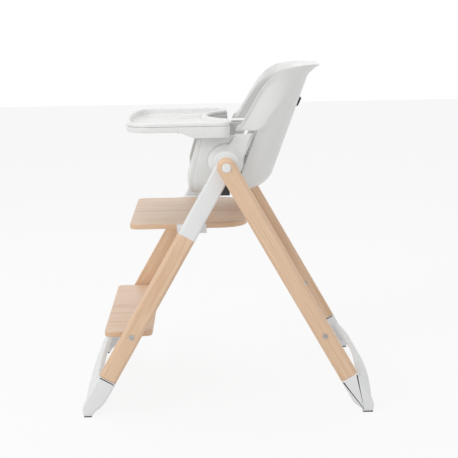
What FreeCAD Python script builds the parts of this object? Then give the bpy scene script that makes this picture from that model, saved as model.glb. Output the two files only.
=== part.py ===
import FreeCAD, Part
import math
import os

# Baby high chair: a wooden A-frame on white feet, two plywood boards, and a
# moulded seat with a tray that hangs on the hubs where the legs cross.
# Millimetres. +Z is up, -Y is the way the child faces, +X is the child's left.
# The origin lies on the floor, under the middle of the chair.

DIMENSIONS = {
    # frame
    "pivot_height": 640.0,
    "pivot_forward": 0.0,
    "rear_slope": 60.8,
    "front_slope": 60.0,
    "front_splay": 1.8,
    "rear_half_width": 286.0,
    "leg_width": 46.0,
    "leg_thickness": 30.0,
    "leg_chamfer": 7.0,
    "leg_end": 625.0,
    "arm_length": 205.0,
    "arm_thickness": 28.0,
    "arm_straight": 160.0,
    "hub_gap": 1.0,
    "fit_gap": 0.2,
    "seat_gap": 0.3,
    # hubs and fasteners
    "pin_radius": 6.0,
    "running_clearance": 0.05,
    "bush_wall": 2.5,
    "cap_radius": 11.5,
    "cap_height": 4.0,
    "bolt_place": 497.0,
    "bolt_radius": 3.0,
    "bolt_head_radius": 6.0,
    "bolt_head_height": 2.5,
    "spigot_width": 22.0,
    "spigot_thickness": 12.0,
    "spigot_length": 34.0,
    # feet and floor bars
    "foot_proud": 1.5,
    "glide_height": 3.0,
    "bar_start": 652.0,
    "bar_length": 62.0,
    "bar_thickness": 14.0,
    "bar_inset": 1.5,
    "front_bar_bow": 5.0,
    "rear_bar_bow": 18.0,
    # boards
    "upper_board_half_width": 197.0,
    "upper_board_front": -249.0,
    "upper_board_back": 56.0,
    "upper_board_top": 486.0,
    "upper_board_thickness": 13.0,
    "upper_front_radius": 18.0,
    "upper_back_radius": 70.0,
    "lower_board_half_width": 240.0,
    "lower_board_front": -320.0,
    "lower_board_back": -197.0,
    "lower_board_top": 216.0,
    "lower_board_thickness": 14.0,
    "lower_board_radius": 14.0,
    "bracket_thickness": 5.0,
    "bracket_front": -128.0,
    "bracket_back": -52.0,
    "bracket_reach": 24.0,
    # seat
    "tub_half_width": 170.0,
    "tub_wall": 16.0,
    "tub_bottom": 556.0,
    "tub_top": 706.0,
    "tub_floor": 600.0,
    "tub_corner": 32.0,
    "shell_half_width": 152.0,
    "shell_wall": 12.0,
    "shell_corner": 92.0,
    "lip_proud": 20.0,
    "back_lean": 20.5,
    "boss_radius": 34.0,
    "carrier_thickness": 9.0,
    "pad_gap": 0.3,
    "back_pad_thickness": 16.0,
    "seat_pad_thickness": 15.0,
    # tray
    "tray_half_width": 212.0,
    "tray_front": -262.0,
    "tray_back": 12.0,
    "tray_top": 745.0,
    "tray_split": 735.0,
    "tray_skirt_bottom": 722.0,
    "tray_wing_bottom": 707.0,
    "tray_wing_front": -74.0,
    "tray_corner": 62.0,
    "tray_skirt_wall": 3.0,
    "tray_rim": 15.0,
    "tray_floor": 727.0,
    "belly_radius": 118.0,
    "belly_depth": 56.0,
    "insert_wall": 2.5,
    # harness
    "strap_width": 25.0,
    "strap_thickness": 2.0,
    "buckle_width": 46.0,
}

doc = FreeCAD.newDocument("HighChair")
sheet = doc.addObject("Spreadsheet::Sheet", "Dims")
for row, (alias, number) in enumerate(DIMENSIONS.items(), start=1):
    sheet.set(f"A{row}", alias)
    sheet.set(f"B{row}", str(number))
    sheet.setAlias(f"B{row}", alias)
doc.recompute()


class Size:
    """A length or angle with its value and the expression that gives it from the sheet."""

    def __init__(self, value, text):
        self.value = float(value)
        self.text = text

    def __add__(self, other):
        other = as_size(other)
        return Size(self.value + other.value, f"({self.text} + {other.text})")

    def __sub__(self, other):
        other = as_size(other)
        return Size(self.value - other.value, f"({self.text} - {other.text})")

    def __mul__(self, other):
        other = as_size(other)
        return Size(self.value * other.value, f"({self.text} * {other.text})")

    def __neg__(self):
        return Size(-self.value, f"(-1 * {self.text})")

    __radd__ = __add__
    __rmul__ = __mul__

    def __rsub__(self, other):
        return as_size(other) - self

    def __float__(self):
        return self.value


def as_size(number):
    """Wrap a plain number as a Size."""
    return number if isinstance(number, Size) else Size(number, repr(float(number)))


def dim(alias):
    """The named cell of the sheet as a Size."""
    return Size(float(sheet.get(alias)), f"Dims.{alias}")


def bind(item, **sizes):
    """Tie each named property of a document object to the sheet."""
    for name, size in sizes.items():
        size = as_size(size)
        setattr(item, name, size.value)
        item.setExpression(name, size.text)


subparts = []


def keep(item, label):
    """Name a finished sub-part; its label is its file's name."""
    item.Label = label
    subparts.append(item)
    return item


def vec(x, y, z):
    return FreeCAD.Vector(float(x), float(y), float(z))


# Derived places ----------------------------------------------------------

PIVOT_Y = dim("pivot_forward")
PIVOT_Z = dim("pivot_height")
REAR_INNER = dim("rear_half_width") - dim("leg_thickness")
ARM_OUTER = REAR_INNER - dim("hub_gap")
ARM_INNER = ARM_OUTER - dim("arm_thickness")
BOSS_OUTER = ARM_INNER - dim("hub_gap")
FRONT_SLOPE = math.radians(dim("front_slope").value)
REAR_SLOPE = math.radians(dim("rear_slope").value)
SPLAY = math.radians(dim("front_splay").value)
HALF_LEG = dim("leg_width") * 0.5
FRONT_LEG_OUTER = float(ARM_OUTER) + 10.0


def leg_placement(kind, inner_x):
    """Local X runs down the leg from the pivot, local Y across it to the rear, local Z outwards."""
    if kind == "front":
        down = vec(math.sin(SPLAY), -math.cos(SPLAY) * math.cos(FRONT_SLOPE), -math.cos(SPLAY) * math.sin(FRONT_SLOPE))
        across = vec(0, math.sin(FRONT_SLOPE), -math.cos(FRONT_SLOPE))
    else:
        down = vec(0, math.cos(REAR_SLOPE), -math.sin(REAR_SLOPE))
        across = vec(0, math.sin(REAR_SLOPE), math.cos(REAR_SLOPE))
    out = down.cross(across)
    rotation = FreeCAD.Rotation(down, across, out, "XYZ")
    return FreeCAD.Placement(vec(inner_x, PIVOT_Y, PIVOT_Z), rotation)


def leg_point(kind, along, across):
    """Y and Z of a point of the leg's side view, along it from the pivot and across it to the rear."""
    slope = FRONT_SLOPE if kind == "front" else REAR_SLOPE
    sign = -1.0 if kind == "front" else 1.0
    y = float(PIVOT_Y) + sign * math.cos(slope) * along + math.sin(slope) * across
    z = float(PIVOT_Z) - math.sin(slope) * along + sign * math.cos(slope) * across
    return y, z


# PartDesign helpers ------------------------------------------------------


def new_body(name):
    return doc.addObject("PartDesign::Body", name)


def origin_plane(body, role):
    return [feature for feature in body.Origin.OriginFeatures if feature.Role == role][0]


def new_sketch(body, name, role="XY_Plane"):
    sketch = body.newObject("Sketcher::SketchObject", name)
    sketch.AttachmentSupport = [(origin_plane(body, role), "")]
    sketch.MapMode = "FlatFace"
    return sketch


def pin_point(sketch, geometry, end, x, y):
    """Hold one sketch point at sheet-driven coordinates."""
    import Sketcher
    for kind, size in (("DistanceX", as_size(x)), ("DistanceY", as_size(y))):
        index = sketch.addConstraint(Sketcher.Constraint(kind, -1, 1, geometry, end, size.value))
        name = f"{kind}{index}"
        sketch.renameConstraint(index, name)
        sketch.setExpression(f"Constraints.{name}", size.text)


def draw_outline(sketch, points):
    """A closed outline of straight runs through sheet-driven points."""
    import Sketcher
    count = len(points)
    numbers = [vec(as_size(x), as_size(y), 0) for x, y in points]
    for index in range(count):
        sketch.addGeometry(Part.LineSegment(numbers[index], numbers[(index + 1) % count]), False)
    for index in range(count):
        sketch.addConstraint(Sketcher.Constraint("Coincident", index, 2, (index + 1) % count, 1))
    for index, (x, y) in enumerate(points):
        pin_point(sketch, index, 1, x, y)


def draw_circle(sketch, x, y, radius):
    """A circle with sheet-driven centre and radius."""
    import Sketcher
    x, y, radius = as_size(x), as_size(y), as_size(radius)
    circle = sketch.addGeometry(Part.Circle(vec(x, y, 0), vec(0, 0, 1), radius.value), False)
    pin_point(sketch, circle, 3, x, y)
    index = sketch.addConstraint(Sketcher.Constraint("Radius", circle, radius.value))
    name = f"Radius{index}"
    sketch.renameConstraint(index, name)
    sketch.setExpression(f"Constraints.{name}", radius.text)


def pad(body, sketch, length, name="Pad"):
    feature = body.newObject("PartDesign::Pad", name)
    feature.Profile = sketch
    bind(feature, Length=length)
    doc.recompute()
    return feature


def pocket(body, sketch, length, name="Pocket", reverse=False, midplane=False):
    before = body.Shape.Volume
    feature = body.newObject("PartDesign::Pocket", name)
    feature.Profile = sketch
    feature.Reversed = reverse
    feature.Midplane = midplane
    bind(feature, Length=length)
    doc.recompute()
    if not feature.Shape.Volume < before - 1.0:
        raise RuntimeError(f"{body.Label}: {name} cuts nothing")
    return feature


def mirrored(item, label):
    """The same piece on the other side of the chair."""
    twin = doc.addObject("Part::Mirroring", label)
    twin.Source = item
    twin.Normal = (1, 0, 0)
    return keep(twin, label)


def both_sides(item, stem):
    keep(item, f"{stem}_left")
    mirrored(item, f"{stem}_right")


def free_shape(label, shape):
    """A sub-part whose shape is worked out here from the sheet's values."""
    item = doc.addObject("Part::Feature", label)
    item.Shape = shape
    return item


def box(name, corner, size):
    """A box from its low corner and its three lengths, tied to the sheet."""
    item = doc.addObject("Part::Box", name)
    bind(item, Length=size[0], Width=size[1], Height=size[2])
    item.Placement = FreeCAD.Placement(vec(*corner), FreeCAD.Rotation())
    for axis, place in zip("xyz", corner):
        item.setExpression(f"Placement.Base.{axis}", as_size(place).text)
    return item


def rod(name, start, radius, length):
    """A cylinder along +X from its start point, tied to the sheet."""
    item = doc.addObject("Part::Cylinder", name)
    bind(item, Radius=radius, Height=length)
    item.Placement = FreeCAD.Placement(vec(*start), FreeCAD.Rotation(vec(0, 1, 0), 90))
    for axis, place in zip("xyz", start):
        item.setExpression(f"Placement.Base.{axis}", as_size(place).text)
    return item


def boolean(kind, name, base, tool):
    item = doc.addObject(f"Part::{kind}", name)
    item.Base = base
    item.Tool = tool
    return item


def side_prism(points, low_x, high_x):
    """A solid with the given Y, Z outline between two X planes."""
    corners = [vec(low_x, y, z) for y, z in points]
    face = Part.Face(Part.makePolygon(corners + corners[:1]))
    return face.extrude(vec(float(high_x) - float(low_x), 0, 0))


def smooth_side_prism(points, low_x, high_x):
    """As side_prism, with the outline a closed spline through the points."""
    curve = Part.BSplineCurve()
    curve.interpolate([vec(low_x, y, z) for y, z in points], PeriodicFlag=True)
    face = Part.Face(Part.Wire(curve.toShape()))
    return face.extrude(vec(float(high_x) - float(low_x), 0, 0))


# Legs --------------------------------------------------------------------


def wooden_leg(name, kind, start, rounded, inner_x):
    """A beam with chamfered outer edges, mortises at its ends and a bolt bore."""
    body = new_body(name)
    profile = new_sketch(body, f"{name}_side")
    draw_outline(profile, [
        (start, -HALF_LEG),
        (dim("leg_end"), -HALF_LEG),
        (dim("leg_end"), HALF_LEG),
        (start, HALF_LEG),
    ])
    pad(body, profile, dim("leg_thickness"), "Beam")
    if rounded:
        head = new_sketch(body, f"{name}_head")
        draw_circle(head, 0, 0, HALF_LEG)
        pad(body, head, dim("leg_thickness"), "Head")
        body.Tip.Refine = True
        doc.recompute()
    thickness = dim("leg_thickness").value
    edges = []
    for index, edge in enumerate(body.Tip.Shape.Edges, start=1):
        flat = all(abs(vertex.Point.z - thickness) < 1e-6 for vertex in edge.Vertexes)
        across = all(abs(vertex.Point.x - dim("leg_end").value) < 1e-6 for vertex in edge.Vertexes)
        across = across or (not rounded and all(abs(vertex.Point.x - float(start)) < 1e-6 for vertex in edge.Vertexes))
        if flat and not across:
            edges.append(f"Edge{index}")
    beam = body.Tip
    chamfer = body.newObject("PartDesign::Chamfer", "OuterChamfer")
    chamfer.Base = (beam, edges)
    bind(chamfer, Size=dim("leg_chamfer"))
    doc.recompute()
    middle = dim("leg_thickness") * 0.5
    half_thick = dim("spigot_thickness") * 0.5 + dim("fit_gap")
    half_wide = dim("spigot_width") * 0.5 + dim("fit_gap")
    depth = dim("spigot_length") + dim("fit_gap")
    ends = [("FootMortise", dim("leg_end") - depth, dim("leg_end") + 1.0)]
    if not rounded:
        ends.append(("ArmMortise", start - 1.0, start + depth))
    for mortise, low, high in ends:
        slot = new_sketch(body, f"{name}_{mortise}", "XZ_Plane")
        draw_outline(slot, [
            (low, middle - half_thick),
            (high, middle - half_thick),
            (high, middle + half_thick),
            (low, middle + half_thick),
        ])
        pocket(body, slot, half_wide * 2, mortise, midplane=True)
    bore = new_sketch(body, f"{name}_bore")
    draw_circle(bore, dim("bolt_place"), 0, dim("bolt_radius") + dim("fit_gap"))
    if rounded:
        draw_circle(bore, 0, 0, dim("pin_radius") + dim("bush_wall"))
    pocket(body, bore, dim("leg_thickness") * 2, "Bores", reverse=True)
    body.Placement = leg_placement(kind, inner_x)
    return body


front_inner = FRONT_LEG_OUTER - dim("arm_length").value * math.sin(SPLAY) - float(dim("leg_thickness"))
front_leg = wooden_leg("front_leg_left", "front", dim("arm_length"), False, front_inner)
both_sides(front_leg, "front_leg")
rear_leg = wooden_leg("rear_leg_left", "rear", as_size(0), True, REAR_INNER)
both_sides(rear_leg, "rear_leg")


def spigot(kind, inner_x, end, towards):
    """The tongue that a fitting pushes into a leg's mortise."""
    wide = dim("spigot_width").value
    thick = dim("spigot_thickness").value
    length = dim("spigot_length").value
    low = end if towards > 0 else end - length
    middle = dim("leg_thickness").value / 2
    tongue = Part.makeBox(length + 1.0, wide, thick, vec(low - (1.0 if towards > 0 else 0.0), -wide / 2, middle - thick / 2))
    tongue.Placement = leg_placement(kind, inner_x)
    return tongue


def front_arm():
    """The white upper arm: a hub ring, a beam that steps outwards and a tongue for the wooden leg."""
    end = dim("arm_length").value
    straight = dim("arm_straight").value
    half = HALF_LEG.value
    hub = Part.makeCylinder(half, dim("arm_thickness").value, vec(ARM_INNER, PIVOT_Y, PIVOT_Z), vec(1, 0, 0))
    inner, outer = ARM_INNER.value, ARM_OUTER.value
    frame = leg_placement("front", 0.0)
    splay_drop = end * math.sin(SPLAY)
    end_out = FRONT_LEG_OUTER
    end_in = end_out - dim("leg_thickness").value
    # the outline lies in the plane through the leg's length and the chair's width
    outline = [(0, inner), (0, outer), (straight, outer), (end, end_out), (end, end_in), (straight, inner)]
    slope_down = vec(0, -math.cos(FRONT_SLOPE), -math.sin(FRONT_SLOPE))
    across = vec(0, math.sin(FRONT_SLOPE), -math.cos(FRONT_SLOPE))
    base = vec(0, PIVOT_Y, PIVOT_Z) - across * half
    corners = [base + slope_down * (along * (math.cos(SPLAY) if along == end else 1.0)) + vec(x, 0, 0) for along, x in outline]
    beam = Part.Face(Part.makePolygon(corners + corners[:1])).extrude(across * (2 * half))
    body = hub.fuse(beam)
    body = body.fuse(spigot("front", front_inner, end, 1))
    # trim what stands past the wooden leg's end plane
    wood = Part.makeBox(400, 200, 200, vec(end, -100, -80))
    wood.Placement = leg_placement("front", front_inner)
    tongue = spigot("front", front_inner, end, 1)
    body = body.cut(wood).fuse(tongue)
    body = body.cut(Part.makeCylinder(dim("pin_radius").value, 80, vec(inner - 20, PIVOT_Y, PIVOT_Z), vec(1, 0, 0)))
    return body.removeSplitter()


both_sides(free_shape("front_arm_left", front_arm()), "front_arm")

# Feet, glides and floor bars ----------------------------------------------

FOOT_INNER = {
    "front": front_inner + dim("leg_end").value * math.sin(SPLAY) - dim("foot_proud").value,
    "rear": REAR_INNER.value - dim("foot_proud").value,
}
FOOT_THICKNESS = dim("leg_thickness").value + 2 * dim("foot_proud").value
GLIDE_TOP = dim("glide_height").value


def foot_outline(kind):
    """Side view of a foot: it carries on the leg's lines, steps in and ends in a flat toe."""
    end = dim("leg_end").value
    half = HALF_LEG.value
    shin = leg_point(kind, end, -half), leg_point(kind, end, half)
    if kind == "front":
        # the toe points forwards
        heel = [leg_point(kind, end + 46, half), leg_point(kind, end + 72, half - 3)]
        step = [(heel[1][0] - 15, heel[1][1] - 10), (heel[1][0] - 25, GLIDE_TOP)]
        toe = [(heel[1][0] - 46, GLIDE_TOP), (heel[1][0] - 50, GLIDE_TOP + 20)]
        return [shin[0], shin[1]] + heel + step + toe
    toe_root = [leg_point(kind, end + 66, -half)]
    step = [(toe_root[0][0] + 21, 7 + GLIDE_TOP), (toe_root[0][0] + 23, GLIDE_TOP)]
    toe = [(toe_root[0][0] + 50, GLIDE_TOP), (toe_root[0][0] + 52, GLIDE_TOP + 22)]
    return [shin[1], shin[0]] + toe_root + step + toe


def foot(kind):
    """A moulded foot with rounded long edges and the tongue that enters the leg."""
    inner_x = FOOT_INNER[kind]
    leg_inner = front_inner if kind == "front" else REAR_INNER.value
    block = side_prism(foot_outline(kind), inner_x, inner_x + FOOT_THICKNESS)
    long_edges = [
        edge for edge in block.Edges
        if abs(edge.Vertexes[0].X - edge.Vertexes[1].X) < 1e-6
        and max(edge.Vertexes[0].Z, edge.Vertexes[1].Z) > GLIDE_TOP + 1
        and not on_leg_end(edge, kind)
    ]
    block = block.makeFillet(3.5, long_edges)
    return block.fuse(spigot(kind, leg_inner, dim("leg_end").value, -1)).removeSplitter()


def on_leg_end(edge, kind):
    """True for the edges of the face that meets the wood."""
    corners = [leg_point(kind, dim("leg_end").value, side * HALF_LEG.value) for side in (-1, 1)]
    return all(
        min(math.hypot(vertex.Y - y, vertex.Z - z) for y, z in corners) < 0.01
        for vertex in edge.Vertexes
    )


for kind in ("front", "rear"):
    both_sides(free_shape(f"{kind}_foot_left", foot(kind)), f"{kind}_foot")
    flat = [point for point in foot_outline(kind) if abs(point[1] - GLIDE_TOP) < 1e-6]
    low_y = min(point[0] for point in flat)
    high_y = max(point[0] for point in flat)
    glide = box(
        f"{kind}_glide_left",
        (FOOT_INNER[kind] + 3, low_y + 1, 0),
        (FOOT_THICKNESS - 6, high_y - low_y - 2, dim("glide_height")),
    )
    both_sides(glide, f"{kind}_glide")


def floor_bar(kind, bow):
    """A wide flat bar between two feet, bowed away from the chair, parallel to the legs."""
    slope = FRONT_SLOPE if kind == "front" else REAR_SLOPE
    sign = -1.0 if kind == "front" else 1.0
    span = FOOT_INNER[kind]
    start = dim("bar_start").value
    outer_across = sign * (HALF_LEG.value - dim("bar_inset").value)
    inner_across = outer_across - sign * dim("bar_thickness").value
    down = vec(0, sign * math.cos(slope), -math.sin(slope))
    rows = []
    for across in (outer_across, inner_across):
        y, z = leg_point(kind, start, across)
        middle = vec(0, *leg_point(kind, start, across + sign * bow))
        rows.append((vec(-span, y, z), middle, vec(span, y, z)))
    outer_arc = Part.Arc(*rows[0]).toShape()
    inner_arc = Part.Arc(*rows[1]).toShape()
    left = Part.makeLine(rows[0][2], rows[1][2])
    right = Part.makeLine(rows[1][0], rows[0][0])
    face = Part.Face(Part.Wire(Part.__sortEdges__([outer_arc, left, inner_arc, right])))
    bar = face.extrude(down * dim("bar_length").value)
    long_edges = [edge for edge in bar.Edges if edge.Length > 1.5 * span]
    return bar.makeFillet(4.0, long_edges)


keep(free_shape("front_floor_bar", floor_bar("front", dim("front_bar_bow").value)), "front_floor_bar")
keep(free_shape("rear_floor_bar", floor_bar("rear", dim("rear_bar_bow").value)), "rear_floor_bar")

# Hub pins, bushes, caps and bolts -------------------------------------------

pin_start = BOSS_OUTER - 30
pin_end = REAR_INNER + dim("leg_thickness") - 1.0
pin = rod("pivot_pin_left", (pin_start, PIVOT_Y, PIVOT_Z), dim("pin_radius"), pin_end - pin_start)
both_sides(pin, "pivot_pin")

bush_outer = rod("bush_outer", (REAR_INNER, PIVOT_Y, PIVOT_Z), dim("pin_radius") + dim("bush_wall"), dim("leg_thickness"))
bush_bore = rod(
    "bush_bore",
    (REAR_INNER - 1, PIVOT_Y, PIVOT_Z),
    dim("pin_radius") + dim("running_clearance"),
    dim("leg_thickness") + 2,
)
both_sides(boolean("Cut", "pivot_bush_left", bush_outer, bush_bore), "pivot_bush")

cap_body = new_body("pivot_cap_left")
cap_sketch = new_sketch(cap_body, "cap_disc")
draw_circle(cap_sketch, 0, 0, dim("cap_radius"))
pad(cap_body, cap_sketch, dim("cap_height"), "Disc")
cap_edges = [
    f"Edge{index}" for index, edge in enumerate(cap_body.Tip.Shape.Edges, start=1)
    if len(edge.Vertexes) == 1 and edge.Vertexes[0].Z > dim("cap_height").value - 0.01
]
cap_disc = cap_body.Tip
cap_round = cap_body.newObject("PartDesign::Fillet", "CapEdge")
cap_round.Base = (cap_disc, cap_edges)
bind(cap_round, Radius=dim("cap_height") * 0.6)
cap_body.Placement = FreeCAD.Placement(
    vec(dim("rear_half_width"), PIVOT_Y, PIVOT_Z), FreeCAD.Rotation(vec(0, 1, 0), 90))
both_sides(cap_body, "pivot_cap")


def leg_bolts(kind, inner_x, reach):
    """A socket-headed bolt on each side of the chair, through the leg and into what it holds."""
    length = dim("leg_thickness").value + reach
    shank = Part.makeCylinder(dim("bolt_radius").value, length, vec(dim("bolt_place"), 0, -reach))
    head = Part.makeCylinder(
        dim("bolt_head_radius").value, dim("bolt_head_height").value,
        vec(dim("bolt_place"), 0, dim("leg_thickness")))
    socket = Part.makeCylinder(2.6, 2.0, vec(dim("bolt_place"), 0, dim("leg_thickness") + 1.0))
    bolt = shank.fuse(head).cut(socket)
    if kind == "rear":
        bolt = bolt.fuse(Part.makeCylinder(5.0, 3.0, vec(dim("bolt_place"), 0, -3.0)))
    bolt.Placement = leg_placement(kind, inner_x)
    return Part.Compound([bolt, bolt.mirror(vec(0, 0, 0), vec(1, 0, 0))])


keep(free_shape("front_leg_bolts", leg_bolts("front", front_inner, 28.0)), "front_leg_bolts")
keep(free_shape("rear_leg_bolts", leg_bolts("rear", REAR_INNER.value, 4.0)), "rear_leg_bolts")


def spreader_stop():
    """A dark block on the back of the arm that fills the top of the gap to the rear leg."""
    half = HALF_LEG.value
    root = [leg_point("front", along, half) for along in (30, 72)]
    tip_y = root[1][0] + 24
    outline = [root[0], root[1], (tip_y, root[1][1]), (tip_y, root[1][1] + 18)]
    inset = 3.0
    return side_prism(outline, ARM_INNER.value + inset, ARM_OUTER.value - inset)


both_sides(free_shape("spreader_stop_left", spreader_stop()), "spreader_stop")

# Boards and their brackets --------------------------------------------------


def board(name, half_width, front, back, top, thickness, front_radius, back_radius):
    """A plywood board with rounded corners, as a padded sketch."""
    body = new_body(name)
    outline = new_sketch(body, f"{name}_plan")
    draw_outline(outline, [
        (-half_width, front),
        (half_width, front),
        (half_width, back),
        (-half_width, back),
    ])
    pad(body, outline, thickness, "Sheet")
    for which, place, radius in (("Front", front, front_radius), ("Back", back, back_radius)):
        edges = [
            f"Edge{index}" for index, edge in enumerate(body.Tip.Shape.Edges, start=1)
            if abs(edge.Vertexes[0].Y - place.value) < 0.01
            and abs(edge.Vertexes[-1].Y - place.value) < 0.01
            and abs(edge.Vertexes[0].Z - edge.Vertexes[-1].Z) > 1
        ]
        sheet_feature = body.Tip
        corner = body.newObject("PartDesign::Fillet", f"{which}Corners")
        corner.Base = (sheet_feature, edges)
        bind(corner, Radius=radius)
        doc.recompute()
    bottom = top - thickness
    body.Placement = FreeCAD.Placement(vec(0, 0, bottom), FreeCAD.Rotation())
    body.setExpression("Placement.Base.z", bottom.text)
    return body


upper_board = board(
    "upper_board", dim("upper_board_half_width"), dim("upper_board_front"), dim("upper_board_back"),
    dim("upper_board_top"), dim("upper_board_thickness"), dim("upper_front_radius"), dim("upper_back_radius"))
keep(upper_board, "upper_board")
lower_plain = board(
    "lower_board_sheet", dim("lower_board_half_width"), dim("lower_board_front"), dim("lower_board_back"),
    dim("lower_board_top"), dim("lower_board_thickness"), dim("lower_board_radius"), dim("lower_board_radius"))


def board_bores():
    """Room in the lower board's ends for the bolts that come through the front legs."""
    radius = dim("bolt_radius").value + 0.4
    bore = Part.makeCylinder(radius, 60, vec(dim("bolt_place"), 0, -32))
    bore.Placement = leg_placement("front", front_inner)
    return Part.Compound([bore, bore.mirror(vec(0, 0, 0), vec(1, 0, 0))])


bore_tool = free_shape("lower_board_bores", board_bores())
keep(boolean("Cut", "lower_board", lower_plain, bore_tool), "lower_board")


def upper_bracket():
    """A moulded ledge that carries the upper board, with a flange against the arm."""
    top = dim("upper_board_top").value - dim("upper_board_thickness").value
    edge = dim("upper_board_half_width").value
    low_y = dim("bracket_front").value
    high_y = dim("bracket_back").value
    wall = dim("bracket_thickness").value
    reach = dim("bracket_reach").value
    ledge = Part.makeBox(60, high_y - low_y, wall * 2, vec(edge - reach, low_y, top - wall * 2))
    rib = Part.makeBox(60, high_y - low_y, dim("upper_board_thickness").value + wall * 2, vec(edge + 1.0, low_y, top - wall * 2))
    block = ledge.fuse(rib)
    arm_side = leg_placement("front", 0.0)
    start = dim("arm_straight").value
    end = dim("arm_length").value
    inner = ARM_INNER.value
    end_in = FRONT_LEG_OUTER - dim("leg_thickness").value
    # remove everything outboard of the arm's inner face
    down = vec(0, -math.cos(FRONT_SLOPE), -math.sin(FRONT_SLOPE))
    across = vec(0, math.sin(FRONT_SLOPE), -math.cos(FRONT_SLOPE))
    base = vec(0, PIVOT_Y, PIVOT_Z) - across * 150
    gap = 0.0
    step = (end_in - inner) / (end - start)
    rows = [(0, inner), (start, inner), (end + 60, inner + step * (end + 60 - start)), (end + 60, 400), (0, 400)]
    corners = [base + down * along + vec(x - gap, 0, 0) for along, x in rows]
    outboard = Part.Face(Part.makePolygon(corners + corners[:1])).extrude(across * 300)
    block = block.cut(outboard)
    half = HALF_LEG.value
    strip = Part.Face(Part.makePolygon([
        vec(0, *leg_point("front", 0, -half)), vec(0, *leg_point("front", end, -half)),
        vec(0, *leg_point("front", end, half)), vec(0, *leg_point("front", 0, half)),
        vec(0, *leg_point("front", 0, -half))])).extrude(vec(400, 0, 0))
    # outside the arm's own width the ledge stops short of the arm's face
    outside = block.cut(strip)
    trim = Part.makeBox(200, 400, 400, vec(edge + 12.0, -300, 300))
    block = block.common(strip).fuse(outside.cut(trim))
    return block.removeSplitter()


both_sides(free_shape("upper_board_bracket_left", upper_bracket()), "upper_board_bracket")

# Seat -------------------------------------------------------------------


def tub_side_outline():
    """Side view of the tub: a raked front, a flat bottom and the seam with the back shell."""
    top = dim("tub_top").value
    bottom = dim("tub_bottom").value
    return [
        (-70, top), (-98, bottom + 34), (-96, bottom + 8), (-84, bottom),
        (26, bottom), (40, 628), (73, top),
    ]


def seat_tub():
    """A channel for the seat: floor and two sides, open at the front, top and back."""
    half = dim("tub_half_width").value
    wall = dim("tub_wall").value
    floor = dim("tub_floor").value
    bottom = dim("tub_bottom").value
    top = dim("tub_top").value
    corner = dim("tub_corner").value
    solid = side_prism(tub_side_outline(), -half, half)
    section = Part.makeBox(2 * half, 400, top - bottom + 60, vec(-half, -200, bottom))
    low_edges = [
        edge for edge in section.Edges
        if abs(edge.Vertexes[0].Z - bottom) < 0.01 and abs(edge.Vertexes[1].Z - bottom) < 0.01
        and abs(abs(edge.Vertexes[0].X) - half) < 0.01 and abs(edge.Vertexes[0].X - edge.Vertexes[1].X) < 0.01
    ]
    section = section.makeFillet(corner, low_edges)
    solid = solid.common(section)
    room = Part.makeBox(2 * (half - wall), 400, 300, vec(-half + wall, -200, floor))
    inner_edges = [
        edge for edge in room.Edges
        if abs(edge.Vertexes[0].Z - floor) < 0.01 and abs(edge.Vertexes[1].Z - floor) < 0.01
        and abs(edge.Vertexes[0].X - edge.Vertexes[1].X) < 0.01
    ]
    room = room.makeFillet(14.0, inner_edges)
    under = Part.makeBox(2 * (half - wall - 14), 160, floor - bottom - 10, vec(-half + wall + 14, -110, bottom + 5))
    keep_front = side_prism([(-84, bottom + 5), (20, bottom + 5), (30, floor - 5), (-90, floor - 5)],
                            -(half - wall - 14), half - wall - 14)
    return solid.cut(room).cut(under.common(keep_front)).removeSplitter()


keep(free_shape("seat_tub", seat_tub()), "seat_tub")

LEAN = math.radians(dim("back_lean").value)
BACK_FOOT = (127.0, 602.0)
# the notch in the shell's lower rear corner that holds the recline grip
NOTCH_LOW = (99.0, 573.0)
NOTCH_HIGH = (127.0, 611.0)


def leaning_prism(grow, low=500.0, high=930.0):
    """A U-shaped plan, rounded at the back, carried up along the back's lean."""
    half = dim("shell_half_width").value + grow
    radius = dim("shell_corner").value + grow
    slide = math.tan(LEAN)
    back = BACK_FOOT[0] + (low - BACK_FOOT[1]) * slide + grow
    front = back - 420
    corner = radius * (1 - math.sqrt(0.5))
    points = [
        vec(-half, front, low), vec(-half, back - radius, low), vec(-half + corner, back - corner, low),
        vec(-half + radius, back, low), vec(half - radius, back, low), vec(half - corner, back - corner, low),
        vec(half, back - radius, low), vec(half, front, low),
    ]
    edges = [
        Part.makeLine(points[0], points[1]),
        Part.Arc(points[1], points[2], points[3]).toShape(),
        Part.makeLine(points[3], points[4]),
        Part.Arc(points[4], points[5], points[6]).toShape(),
        Part.makeLine(points[6], points[7]),
        Part.makeLine(points[7], points[0]),
    ]
    face = Part.Face(Part.Wire(edges))
    rise = high - low
    return face.extrude(vec(0, rise * slide, rise))


def back_side_outline():
    """Side view of the back shell: rounded bottom, wing edge and top, clear of the tub's seam."""
    seam = dim("seat_gap").value
    top = dim("tub_top").value
    return [
        (26 + seam, 556), (66, 554), (90, 560), (102, 569), (*NOTCH_LOW,), (*NOTCH_HIGH,), (135, 611),
        (170, 700), (260, 700),
        (300, 840), (300, 883), (211, 883), (180, 881), (150, 873), (125, 858), (101, 833),
        (79, 799), (61, 768), (45, 742), (24, 728), (20, 712), (73 + seam, 712), (73 + seam, top),
        (40 + seam, 628),
    ]


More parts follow.
